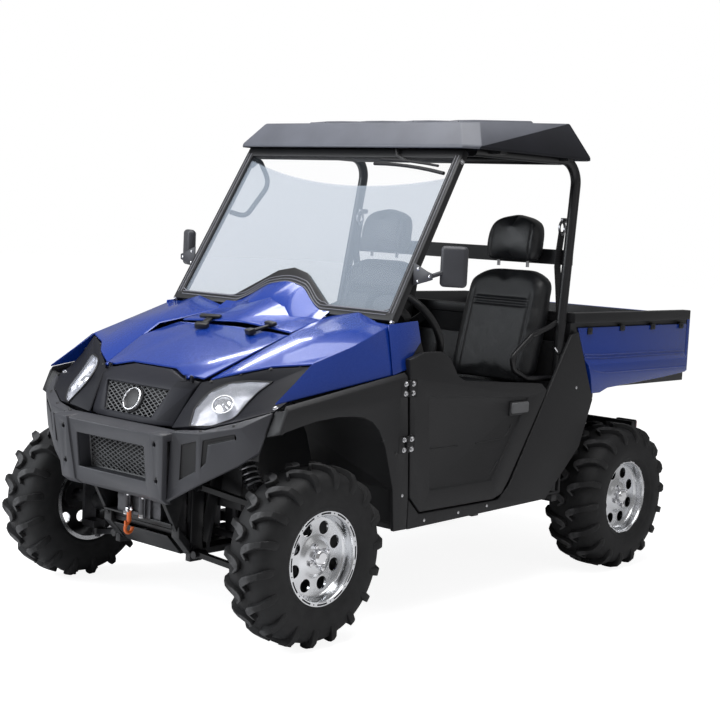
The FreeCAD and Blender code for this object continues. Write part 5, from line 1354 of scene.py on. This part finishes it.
# %% [markdown]
# ## Doors
# The latch is a grey paddle in its cup, and the door skin has three raised welts. A small moulding
# like the paddle is a box with its edges rounded, and a welt is a round rod half sunk in the skin.
# Both are made on the left door, and the right door gets the mirrored copy.

# %% Boxes with soft edges
def softened(mesh, width, segments=2, angle=30):
    bevel = {"width": width, "segments": segments, "limit_method": "ANGLE",
             "angle_limit": math.radians(angle)}
    return smoothed(settled(mesh, ("BEVEL", bevel)), 45)


def slab_mesh(low, high):
    bm = bmesh.new()
    bmesh.ops.create_cube(bm, size=1)
    bmesh.ops.scale(bm, vec=Vector(high) - Vector(low), verts=bm.verts)
    mesh = mesh_of("slab", bm)
    mesh.transform(Matrix.Translation((Vector(high) + Vector(low)) / 2))
    return mesh


def block(low, high, width, segments=2, angle=30):
    """Box between two corners with its edges rounded."""
    return softened(slab_mesh(low, high), width, segments, angle)


def laid_block(low, high, width, segments=2):
    """The same, with y measured from the front axle."""
    return block(*laid((low, high)), width, segments)


# %% Door latches and welts
paddle = laid_block((0.650, 1.103, 0.733), (0.668, 1.215, 0.777), 0.0085, 4)
cup = laid_block((0.650, 1.097, 0.725), (0.6600, 1.221, 0.781), 0.004)
hooked_welt = laid(((0.6525, 0.895, 0.632), (0.6525, 1.085, 0.640), (0.6535, 1.118, 0.690)))
welts = wired([rounded_path(hooked_welt, 0.03),
               laid(((0.6525, 0.600, 0.632), (0.6525, 0.785, 0.632))),
               laid(((0.6525, 0.990, 0.492), (0.6545, 1.040, 0.550)))], 0.0028)
for side, flip in mirror_x.items():
    new_piece("door_paddle_" + side, moved(paddle, flip), side + "_door", "paddle_grey")
    new_piece("door_cup_" + side, moved(cup, flip), side + "_door", "trim_black")
    new_piece("door_welts_" + side, moved(welts, flip), side + "_door", "panel_black")

# %% [markdown]
# ## Hood latches
# Two dark rubber T-handles hold the hood lid down. They lift with the lid, so they ride on it.
# Each is a strap with a handle and a hook, made flat and then laid on the sloping lid.

# %% Hood latches
def t_latch():
    """Rubber T-handle on a strap, lying on the XY plane with its hook ahead."""
    strap = block((-0.013, -0.044, 0.0), (0.013, 0.046, 0.010), 0.003)
    handle = block((-0.044, 0.028, 0.004), (0.044, 0.050, 0.018), 0.005, 3)
    hook = block((-0.026, -0.060, -0.004), (0.026, -0.032, 0.016), 0.003)
    return merged(strap, handle, hook)


latch = t_latch()
for side, sign in side_signs:
    middle = Vector((sign * 0.152, along(0.214), 1.0445))
    turn = Matrix.Rotation(math.radians(-sign * 24), 4, "Z") @ Matrix.Rotation(math.radians(18), 4, "X")
    new_piece("hood_latch_" + side, moved(latch, Matrix.Translation(middle) @ turn), "hood", "trim_black")

# %% [markdown]
# ## The screen's beads
# Pale beads run round the screen's black frame and follow the arch of its foot. They are drawn in
# the screen's sloping plane, where a share of the slope and a distance across give each point, and
# then dropped onto the finished frame, because a bead that floats gives itself away by its shadow.

# %% Screen's plane
screen_foot = Vector((0, along(0.440), 1.100))
screen_slope = Vector((0, 0.387, 0.641))
screen_out = Vector((0, -0.641, 0.387)).normalized()


def screen_point(x, share, out=0.0):
    """Point on the windshield's sloping plane: share 0 at its foot and 1 at its top."""
    return Vector((x, 0, 0)) + screen_foot + screen_slope * share + screen_out * out


def arch_lift(x, height, half_low, half_high):
    """Rise of the arch at x: nearly flat within half_high, and gone beyond half_low."""
    reach = abs(x)
    if reach >= half_low:
        return 0.0
    if reach <= half_high:
        return height * (1 - 0.12 * (reach / half_high) ** 2)
    t = (half_low - reach) / (half_low - half_high)
    return 0.88 * height * t * t * (3 - 2 * t)


def spread(reach, count):
    """Places on X from minus the reach to the reach, in even steps."""
    return [reach * (2 * k / count - 1) for k in range(count + 1)]


print("screen slope", round(math.degrees(math.atan2(screen_slope.z, screen_slope.y)), 1), "degrees")

# %% Screen beads
bead_out = 0.040


def bead(offset, reach):
    return [screen_point(x, offset + arch_lift(x, 0.133, 0.235, 0.075), bead_out) for x in spread(reach, 56)]


def on_frame(points):
    """The same line, laid on the face of the screen's frame."""
    frame_piece = bpy.data.objects["windshield_frame_rounded"]
    hits = [frame_piece.closest_point_on_mesh(place) for place in points]
    return [place + normal * 0.0006 for _, place, normal, _ in hits]


bead_lines = [on_frame(bead(0.030 + 0.017 * k, 0.560)) for k in range(3)]
for sign in (-1, 1):
    for inset in (0.012, 0.026):
        bead_lines.append(on_frame([screen_point(sign * (0.600 - inset - 0.017 * share), share, bead_out)
                                    for share in (0.04, 0.28, 0.52, 0.76, 0.96)]))
new_piece("screen_beads", wired(bead_lines, 0.0020, 6), "chassis", "trim_line")

# %% [markdown]
# ## Cowl under and beside the screen
# Blue cowl shows through the arch of the screen's foot and at both of its ends. Under the arch it
# is a sheet that drops away from the arch's edge, and at the ends it is a small flat wing. The
# sheets get their thickness after their shape, so both stay a few lines of points.

# %% Cowl pieces
scoop_steps = ((0, 0, 0), (0, -0.05, -0.030), (0, -0.11, -0.078), (0, -0.13, -0.105))
scoop_edge = [screen_point(x, 0.040 + arch_lift(x, 0.150, 0.240, 0.060), 0.004) for x in spread(0.285, 40)]
scoop = skinned("scoop", [[edge + Vector(step) for step in scoop_steps] for edge in scoop_edge],
                first=False, last=False, across=False)
new_piece("cowl_scoop", smoothed(thick(scoop, 0.003, 0.0), 45), "chassis", "body_blue")

wing_outline = ((0.609, 0.400, 1.096), (0.607, 0.564, 1.107), (0.620, 0.573, 1.030), (0.629, 0.517, 0.980),
                (0.636, 0.499, 0.936), (0.638, 0.448, 0.926), (0.640, 0.403, 0.916))
bm = bmesh.new()
bm.faces.new([bm.verts.new(place) for place in laid(wing_outline)])
wing = thick(mesh_of("wing", bm), 0.006, 0.0)
new_piece("cowl_wings", both_sides(softened(wing, 0.002)), "chassis", "body_blue")

# %% [markdown]
# ## Wiper
# The wiper hangs from the screen's top and is parked along it. Its blade is a slightly bent rod
# in the screen's plane, with a thinner carrier and the arm above it, and its motor is a small box.

# %% Wiper
def parked(xs, top, bend, out):
    """Line near the screen's top that bends down towards its end."""
    return [screen_point(x, top - bend * ((x - 0.165) / 0.38) ** 2, out) for x in xs]


blade = parked((0.165, 0.22, 0.28, 0.34, 0.40, 0.46, 0.535), 0.905, 0.055, 0.014)
carrier = parked((0.20, 0.28, 0.36, 0.44, 0.50), 0.925, 0.045, 0.022)
wiper_arm = [screen_point(0.262, 0.985, 0.030), screen_point(0.275, 0.945, 0.026),
             screen_point(0.34, 0.915, 0.020)]
motor = block(screen_point(0.235, 0.985, 0.0), screen_point(0.30, 1.03, 0.028), 0.004)
wiper = merged(wired([blade], 0.0078, 6), wired([carrier, wiper_arm], 0.0055, 6), motor)
new_piece("wiper", wiper, "chassis", "trim_black")

# %% [markdown]
# ## Mirrors
# A mirror is a moulded shell on a flat bracket, which is bolted to the screen's post. The shell is
# a box with a large bevel, turned a little towards the driver, and its glass is a second, thin box.

# %% Mirrors
at_mirror = Matrix.Translation((0.726, along(0.612), 1.312)) @ Matrix.Rotation(math.radians(30), 4, "Z")
shell = block((-0.050, -0.019, -0.075), (0.050, 0.019, 0.075), 0.0165, 5)
glass_face = block((-0.040, 0.014, -0.064), (0.040, 0.0205, 0.064), 0.006, 3, 60)
bracket_outline = ((0.600, 1.320), (0.600, 1.236), (0.664, 1.254), (0.690, 1.262), (0.690, 1.284),
                   (0.664, 1.292))
plate = skinned("bracket", [laid([(x, y, z) for x, z in bracket_outline]) for y in (0.534, 0.539)])
stalk = wired([laid(((0.678, 0.536, 1.273), (0.690, 0.575, 1.285), (0.716, 0.606, 1.300)))], 0.0085, 12)
bracket = merged(softened(plate, 0.0015), stalk)
mirror_bolts = [((sign * x, 0.534, z), (0, -1, 0)) for sign in (1, -1)
                for x, z in ((0.622, 1.298), (0.622, 1.252), (0.676, 1.273))]
fasteners("mirror_bolts", "chassis", pan_head, mirror_bolts, "zinc_bolt")
mirror_shells = both_sides(merged(moved(shell, at_mirror), bracket))
new_piece("mirror_shells", mirror_shells, "chassis", "fascia_grey", "trim_black",
          ("mirrors",))
new_piece("mirror_faces", both_sides(moved(glass_face, at_mirror)), "chassis", "mirror_glass")

# %% [markdown]
# ## Grab handle
# A tube stands behind the screen at the far post, for the passenger to hold. Its path is five
# corners whose bends are arcs, and the wire tree gives the path its thickness.

# %% Grab handle
grab = rounded_path(laid(((-0.560, 0.800, 1.668), (-0.545, 0.832, 1.700), (-0.545, 0.900, 1.600),
                          (-0.545, 0.765, 1.452), (-0.572, 0.700, 1.470))), 0.05, 8)
new_piece("grab_handle", wired([grab], 0.0105, 12), "chassis", "trim_black")

# %% [markdown]
# ## Behind the grilles
# Dark boxes behind both grilles stand for the radiator and are painted shade as well: they keep
# daylight out of the mesh. Black liners close the gaps above, below and beside the lamps as painted
# shade, where the bright floor would show through. None of them shows by itself, so plain boxes
# are enough.

# %% Radiator and shade liners
duct = laid_block((-0.20, -0.222, 0.728), (0.20, -0.205, 0.845), 0.003)
core = laid_block((-0.21, -0.262, 0.515), (0.21, -0.250, 0.700), 0.003)
# painted shade: a black plate under the joint of nose and bumper, and black liners in the gaps beside the
# lamps
closing = slab_mesh(*laid(((-0.335, -0.318, 0.7035), (0.335, -0.12, 0.7075))))
shade_liner_low = laid_block((-0.335, -0.030, 0.42), (0.335, -0.024, 0.80), 0.002)
shade_liner_high = laid_block((-0.320, -0.186, 0.66), (0.320, -0.180, 0.845), 0.002)
shade_liner_wide = laid_block((-0.575, -0.186, 0.645), (0.575, -0.180, 0.735), 0.002)
radiator_and_shade_mesh = merged(duct, core, closing, shade_liner_low, shade_liner_high, shade_liner_wide)
new_piece("radiator_cores", radiator_and_shade_mesh, "chassis", "trim_black")

# %% [markdown]
# ## Winch rollers and hook
# The rope runs out between two bright rollers. The hook is a small forged one: its bowl is an arc
# of points that the wire tree makes round, with a straight shank and a flat safety catch. A turned
# eye joins it to the winch.

# %% Winch
roller = lathe("roller", [(-0.037, 0.0), (-0.037, 0.0128), (-0.033, 0.0128), (-0.031, 0.0122),
                          (0.031, 0.0122), (0.033, 0.0128), (0.037, 0.0128), (0.037, 0.0)], 28, "Z")
rollers = merged(*[moved(roller, Matrix.Translation((x, along(-0.236), 0.407))) for x in (-0.042, 0.042)])
new_piece("winch_rollers", smoothed(rollers, 35), "chassis", "chrome_bright")

# %% Hook
hook_y = halfway("winch_hook", 1) - 0.012
hook_z, hook_reach, hook_drop = 0.328, 0.0165, 0.0180    # middle and half sizes of the bowl
bowl_path = [Vector((0.0, hook_y, 0.358))]
for k in range(15):
    angle = math.radians(80 - k * 19)
    ahead, above = hook_reach * math.cos(angle), hook_drop * math.sin(angle)
    bowl_path.append(Vector((0.0, hook_y - ahead, hook_z + above)))
shank = [Vector((0.0, hook_y, 0.392)), Vector((0.0, hook_y, 0.352))]
safety = block((-0.004, hook_y - 0.019, 0.330), (0.004, hook_y - 0.014, 0.356), 0.002)
forged = merged(wired([bowl_path], 0.0062, 12), wired([shank], 0.0085, 12), safety)
new_piece("forged_hook", forged, "chassis", "hook_orange", None, ("winch_hook",))
eye = lathe("eye", [(-0.0055, 0.0075), (-0.0055, 0.0130), (0.0055, 0.0130), (0.0055, 0.0075)], 24)
clevis = smoothed(moved(eye, Matrix.Translation((0, hook_y, 0.396))), 40)
new_piece("hook_clevis", clevis, "chassis", "chrome_bright")

# %% [markdown]
# ## Springs and bellows
# Each shock absorber carries a coil spring between two plates. The spring tree makes a helix of a
# given length, which one matrix lays along the shock absorber. The axle boots are bellows turned
# from a saw-tooth outline, and they narrow away from the joint that they cover.

# %% Coil springs
coil_radius = 0.0300
coil_wire = 0.0042
plate_outline = [(-0.003, 0.008), (-0.003, 0.034), (0.003, 0.034), (0.003, 0.008)]


def stood(place, direction):
    """Matrix that stands a Z-up shape on a place, along a direction."""
    return Matrix.Translation(place) @ direction.to_track_quat("Z", "Y").to_matrix().to_4x4()


coils = []
for y, foot_z in ((0.0, 0.482), (wheelbase, 0.412)):
    foot = Vector((0.396, along(y), foot_z))
    top = Vector((0.262, along(y), 0.672))
    start, end = foot.lerp(top, 0.19), foot.lerp(top, 0.83)
    length = (end - start).length
    coil = spring_growth.grow(Turns=7.0, Coil_radius=coil_radius, Length=length, Wire=coil_wire)
    coils.append(moved(coil, stood(start, end - start)))
    plate = lathe("spring_plate", plate_outline, 28, "Z")
    coils += [moved(plate, stood(place, end - start)) for place in (start, end)]
new_piece("coil_springs", smoothed(both_sides(merged(*coils)), 45), "chassis", "bare_steel")

# %% Axle bellows
boot_length = 0.085
boot_folds = 5


def boot_outline(sign):
    outline = [(0.0, 0.012), (0.0, 0.037)]
    for k in range(boot_folds):
        share = (k + 0.5) / boot_folds
        outline += [(boot_length * share, 0.0375 - 0.016 * share),
                    (boot_length * (share + 0.1), 0.0320 - 0.016 * share)]
    outline.append((boot_length, 0.012))
    return [(sign * a, r) for a, r in outline]


bellows = []
for y, outer in ((0.0, 0.500), (wheelbase, 0.430)):
    for start, sign in ((0.100, 1), (outer, -1)):
        boot = lathe("bellows", boot_outline(sign), 32)
        bellows.append(moved(boot, Matrix.Translation((start, along(y), wheel_height))))
new_piece("axle_bellows", smoothed(both_sides(merged(*bellows)), 50), "chassis", "trim_black")

# %% [markdown]
# ## Bed and tailgate
# The bed's blue side is held by black clips and carries three folded lines; its inner faces are
# black like the tub. The folds and clips are set on the finished panel by its nearest points, so
# they follow its slope. The tailgate has a latch in the middle and four ribs.

# %% Bed
bed_skin = bpy.data.objects["bed_sides_rounded"]
bed_skin.data.materials.append(finishes["trim_black"])
second_finish_and_shade("bed_sides_rounded", lambda place, normal: normal.x * place.x < -0.3 * abs(place.x))


def on_bed_side(y, z, out):
    _, place, normal, _ = bed_skin.closest_point_on_mesh(Vector((0.66, along(y), z)))
    return place + normal * out


folds = [[on_bed_side(y, z, 0.0005) for y in (1.60, 1.75, 1.90, 2.05, 2.20, 2.35, 2.428)]
         for z in (0.944, 0.930, 0.868)]
new_piece("bed_folds", both_sides(wired(folds, 0.0034)), "bed", "body_blue")
clips = []
for y, z in ((1.640, 1.049), (1.890, 1.058), (2.140, 1.058), (2.385, 1.058)):
    seat = on_bed_side(y, z, 0.0)
    clips.append(block(seat + Vector((-0.010, -0.016, -0.016)), seat + Vector((0.007, 0.016, 0.012)), 0.0025))
    at_screw = Matrix.Translation(seat + Vector((0.007, 0, -0.003))) @ facing_x
    clips.append(moved(dome("clip_screw", 0.005, 0.003, 10), at_screw))
new_piece("bed_clips", both_sides(merged(*clips)), "bed", "trim_black")

# %% Tailgate
gate_low, gate_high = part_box("tailgate")
gate_back = gate_high.y
gate_mid = (gate_low.z + gate_high.z) / 2
gate_cup = block((-0.085, gate_back - 0.012, gate_mid + 0.02),
                 (0.085, gate_back - 0.001, gate_mid + 0.085), 0.006)
gate_lever = block((-0.065, gate_back - 0.008, gate_mid + 0.040),
                   (0.065, gate_back + 0.006, gate_mid + 0.066), 0.006, 3)
new_piece("tailgate_latch", merged(gate_cup, gate_lever), "gate", "trim_black")
ribs = [[Vector((x, gate_back - 0.0015, z)) for z in (gate_low.z + 0.05, gate_high.z - 0.05)]
        for x in (-0.42, -0.30, 0.30, 0.42)]
new_piece("tailgate_ribs", wired(ribs, 0.005), "gate", "body_blue")

# %% [markdown]
# ## Tail lamps
# The model's tail lamp is a solid that would show above the tyre in the photograph's view. So the
# lens and its back fill only the lower part of that solid. The box of the node spans both lamps,
# and the inner edge of one comes from its middle.

# %% Tail lamps
lamp_middle_x = 0.42
lamp_low, lamp_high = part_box("tail_lamps")
lamp_in = 2 * lamp_middle_x - lamp_high.x
lamp_top = lamp_low.z + 0.58 * (lamp_high.z - lamp_low.z)
tail_lens = block((lamp_in + 0.004, lamp_low.y + 0.006, lamp_low.z + 0.004),
                  (lamp_high.x - 0.004, lamp_high.y, lamp_top), 0.006, 3)
tail_back = block((lamp_in, lamp_low.y, lamp_low.z),
                  (lamp_high.x, lamp_high.y - 0.012, lamp_top + 0.004), 0.004)
new_piece("tail_lens", both_sides(tail_lens), "chassis", "lamp_red", None, ("tail_lamps",))
new_piece("tail_lamp_backs", both_sides(tail_back), "chassis", "trim_black")

# %% [markdown]
# ## Belts
# The belts run taut from a bright guide on the rear post down beside the seat, so they are plain
# straps and need no cloth. A strap is a flat four-cornered section moved along a few points.

# %% Belts
def ribbon(points, half_width, half_thick):
    """Flat strap through points, its width along Y."""
    section = ((-half_thick, -half_width), (half_thick, -half_width), (half_thick, half_width),
               (-half_thick, half_width))
    return skinned("ribbon", [[place + Vector((dx, dy, 0)) for dx, dy in section] for place in points])


strap = ribbon(laid(((0.566, 1.512, 1.455), (0.566, 1.500, 1.38), (0.566, 1.495, 1.31), (0.564, 1.515, 1.22),
                     (0.560, 1.54, 1.10), (0.556, 1.55, 0.98))), 0.022, 0.0012)
guide_ring = lathe("guide", [(-0.004, 0.017), (-0.004, 0.025), (0.004, 0.025), (0.004, 0.017)], 28)
oval = Matrix.Diagonal((1, 0.9, 1.25, 1))
guide = merged(moved(guide_ring, Matrix.Translation((0.566, along(1.512), 1.470)) @ oval),
               laid_block((0.560, 1.505, 1.492), (0.572, 1.560, 1.512), 0.003),
               moved(dome("guide_bolt", 0.012, 0.006, 16),
                     Matrix.Translation((0.572, along(1.548), 1.502)) @ facing_x))
new_piece("belt_straps", smoothed(both_sides(strap), 40), "chassis", "webbing")
new_piece("belt_guides", smoothed(both_sides(guide), 40), "chassis", "bare_steel")
reel = laid_block((0.530, 1.515, 0.90), (0.590, 1.585, 0.99), 0.010, 3)
new_piece("belt_reels", both_sides(reel), "chassis", "trim_black")
buckle = merged(laid_block((0.100, 1.275, 0.885), (0.122, 1.315, 0.955), 0.005, 3),
                ribbon(laid(((0.111, 1.295, 0.80), (0.111, 1.295, 0.89))), 0.014, 0.0015))
new_piece("belt_buckles", both_sides(buckle), "chassis", "trim_black")
loops = wired([rounded_path(laid(((0.633, 1.445, 0.955), (0.633, 1.41, 0.985))), 0.01)], 0.006, 10)
new_piece("hip_loop_pins", both_sides(loops), "chassis", "chrome_bright")

# %% [markdown]
# ## Cabin
# Over the half doors one sees an instrument pod, the hub of the steering wheel, a few switches,
# a glovebox lid and the gear lever. Round things are turned and flat things are soft boxes. The
# hub turns with the steering wheel, and the rest stays with the chassis.

# %% Steering wheel's hub and gauge
wheel_x = halfway("steering_wheel", 0)
pad = lathe("horn_pad", [(-0.010, 0.0), (-0.010, 0.046), (0.004, 0.050), (0.014, 0.044), (0.020, 0.030),
                         (0.022, 0.0)], 36, "Z")
at_wheel = Matrix.Translation((wheel_x, along(0.775), 1.052)) @ Matrix.Rotation(math.radians(-58), 4, "X")
new_piece("steering_pad", smoothed(moved(pad, at_wheel), 40), "steering", "trim_black")
pod = lathe("pod", [(-0.02, 0.0), (-0.02, 0.058), (0.012, 0.060), (0.020, 0.056), (0.016, 0.050),
                    (0.012, 0.048), (0.012, 0.0)], 40, "Z")
face = lathe("gauge_face", [(0.0, 0.0), (0.0, 0.047), (0.013, 0.047), (0.0135, 0.044),
                            (0.0135, 0.0)], 40, "Z")
at_pod = Matrix.Translation((wheel_x, along(0.742), 1.082)) @ Matrix.Rotation(math.radians(-64), 4, "X")
new_piece("gauge_pod", smoothed(moved(pod, at_pod), 40), "chassis", "trim_black")
new_piece("gauge_face", smoothed(moved(face, at_pod), 40), "chassis", "mirror_glass")

# %% Dashboard and lever
dash_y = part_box("dashboard")[1].y
switches = [block((x - 0.011, dash_y - 0.004, 0.935), (x + 0.011, dash_y + 0.006, 0.972), 0.003)
            for x in (0.02, 0.055, 0.09)]
glovebox = block((-0.50, dash_y - 0.004, 0.875), (-0.14, dash_y + 0.003, 1.0), 0.006)
new_piece("dash_fittings", merged(*switches, glovebox), "chassis", "panel_black")
knob = moved(dome("knob", 0.020, 0.030, 20, 0.012), Matrix.Translation((0.085, along(0.805), 0.998)))
lever = merged(wired([laid(((0.085, 0.755, 0.90), (0.085, 0.805, 1.00)))], 0.006, 10), knob)
new_piece("gear_lever", smoothed(lever, 45), "chassis", "trim_black")

# %% [markdown]
# ## Floor and light
# A studio sweep: a pale floor that shows white to the camera but still takes the soft shadow, and
# a world that is white where it is seen and plain grey as a light. A large softbox hangs overhead,
# a wide one stands far ahead on the right, and a weak one fills in from the left. The last light
# is a narrow card, which is placed so that the left fender's ridge mirrors it to the camera.

# %% Floor and world
def make_floor():
    bpy.ops.mesh.primitive_plane_add(size=60, location=(0, 0, 0))
    floor = bpy.context.object
    floor.name = "floor"
    white = Finish("floor_white", base_color=colour(0.82, 0.82, 0.83), roughness=0.9)
    glow = white.node("ShaderNodeEmission", {"Strength": 2.0})
    matt = Signal(white, white.shader.outputs[0])
    mixed = white.node("ShaderNodeMixShader", {0: white.seen() * 0.45, 1: matt, 2: glow})
    white.feed(white.tree.nodes["Material Output"].inputs[0], mixed)
    floor.data.materials.append(white.material)


def make_world():
    world = bpy.data.worlds.new("studio")
    bpy.context.scene.world = world
    world.use_nodes = True
    sky = Tree(world.node_tree)
    back = sky.tree.nodes["Background"]
    level = sky.node("ShaderNodeMapRange", {"Value": sky.seen(), "To Min": 0.27, "To Max": 1.0}, "Result")
    sky.feed(back.inputs["Strength"], level)
    sky.feed(back.inputs["Color"], colour(1, 1, 1))


make_floor()
make_world()
print("floor and world are set")

# %% Lights
def softbox(name, place, target, size, power, tint=(1.0, 1.0, 1.0), level=None, spread_angle=180):
    """Rectangular light that faces its target, with its long side along level if that is given."""
    data = bpy.data.lights.new(name, "AREA")
    data.color = tint
    data.shape = "RECTANGLE"
    data.size, data.size_y = size
    data.energy = power
    data.spread = math.radians(spread_angle)
    light = linked(name, data)
    light.location = place
    light.rotation_mode = "QUATERNION"
    back = (Vector(place) - Vector(target)).normalized()
    light.rotation_quaternion = back.to_track_quat("Z", "Y")
    if level:
        side = (Vector(level) - back * back.dot(Vector(level))).normalized()
        light.rotation_quaternion = Matrix((side, back.cross(side), back)).transposed().to_quaternion()
    print(name, power, "W")


softbox("overhead", (0.3, -0.8, 4.6), (0, 0, 0.8), (4.2, 4.2), 200)
softbox("left", (5.2, 0.5, 2.8), (0, 0, 0.8), (2.5, 1.8), 6)
softbox("front", (-3.2, -5.4, 3.2), (0, -0.8, 0.9), (3.4, 2.2), 210, (0.92, 0.96, 1.0))
ridge = (0.416, along(0.017), 0.981)
softbox("hood_card", (-0.475, along(0.503), 1.793), ridge, (0.56, 0.12), 0.26, level=(0.191, 0.246, 0.062),
        spread_angle=45)
bpy.context.scene.view_settings.view_transform = "Standard"
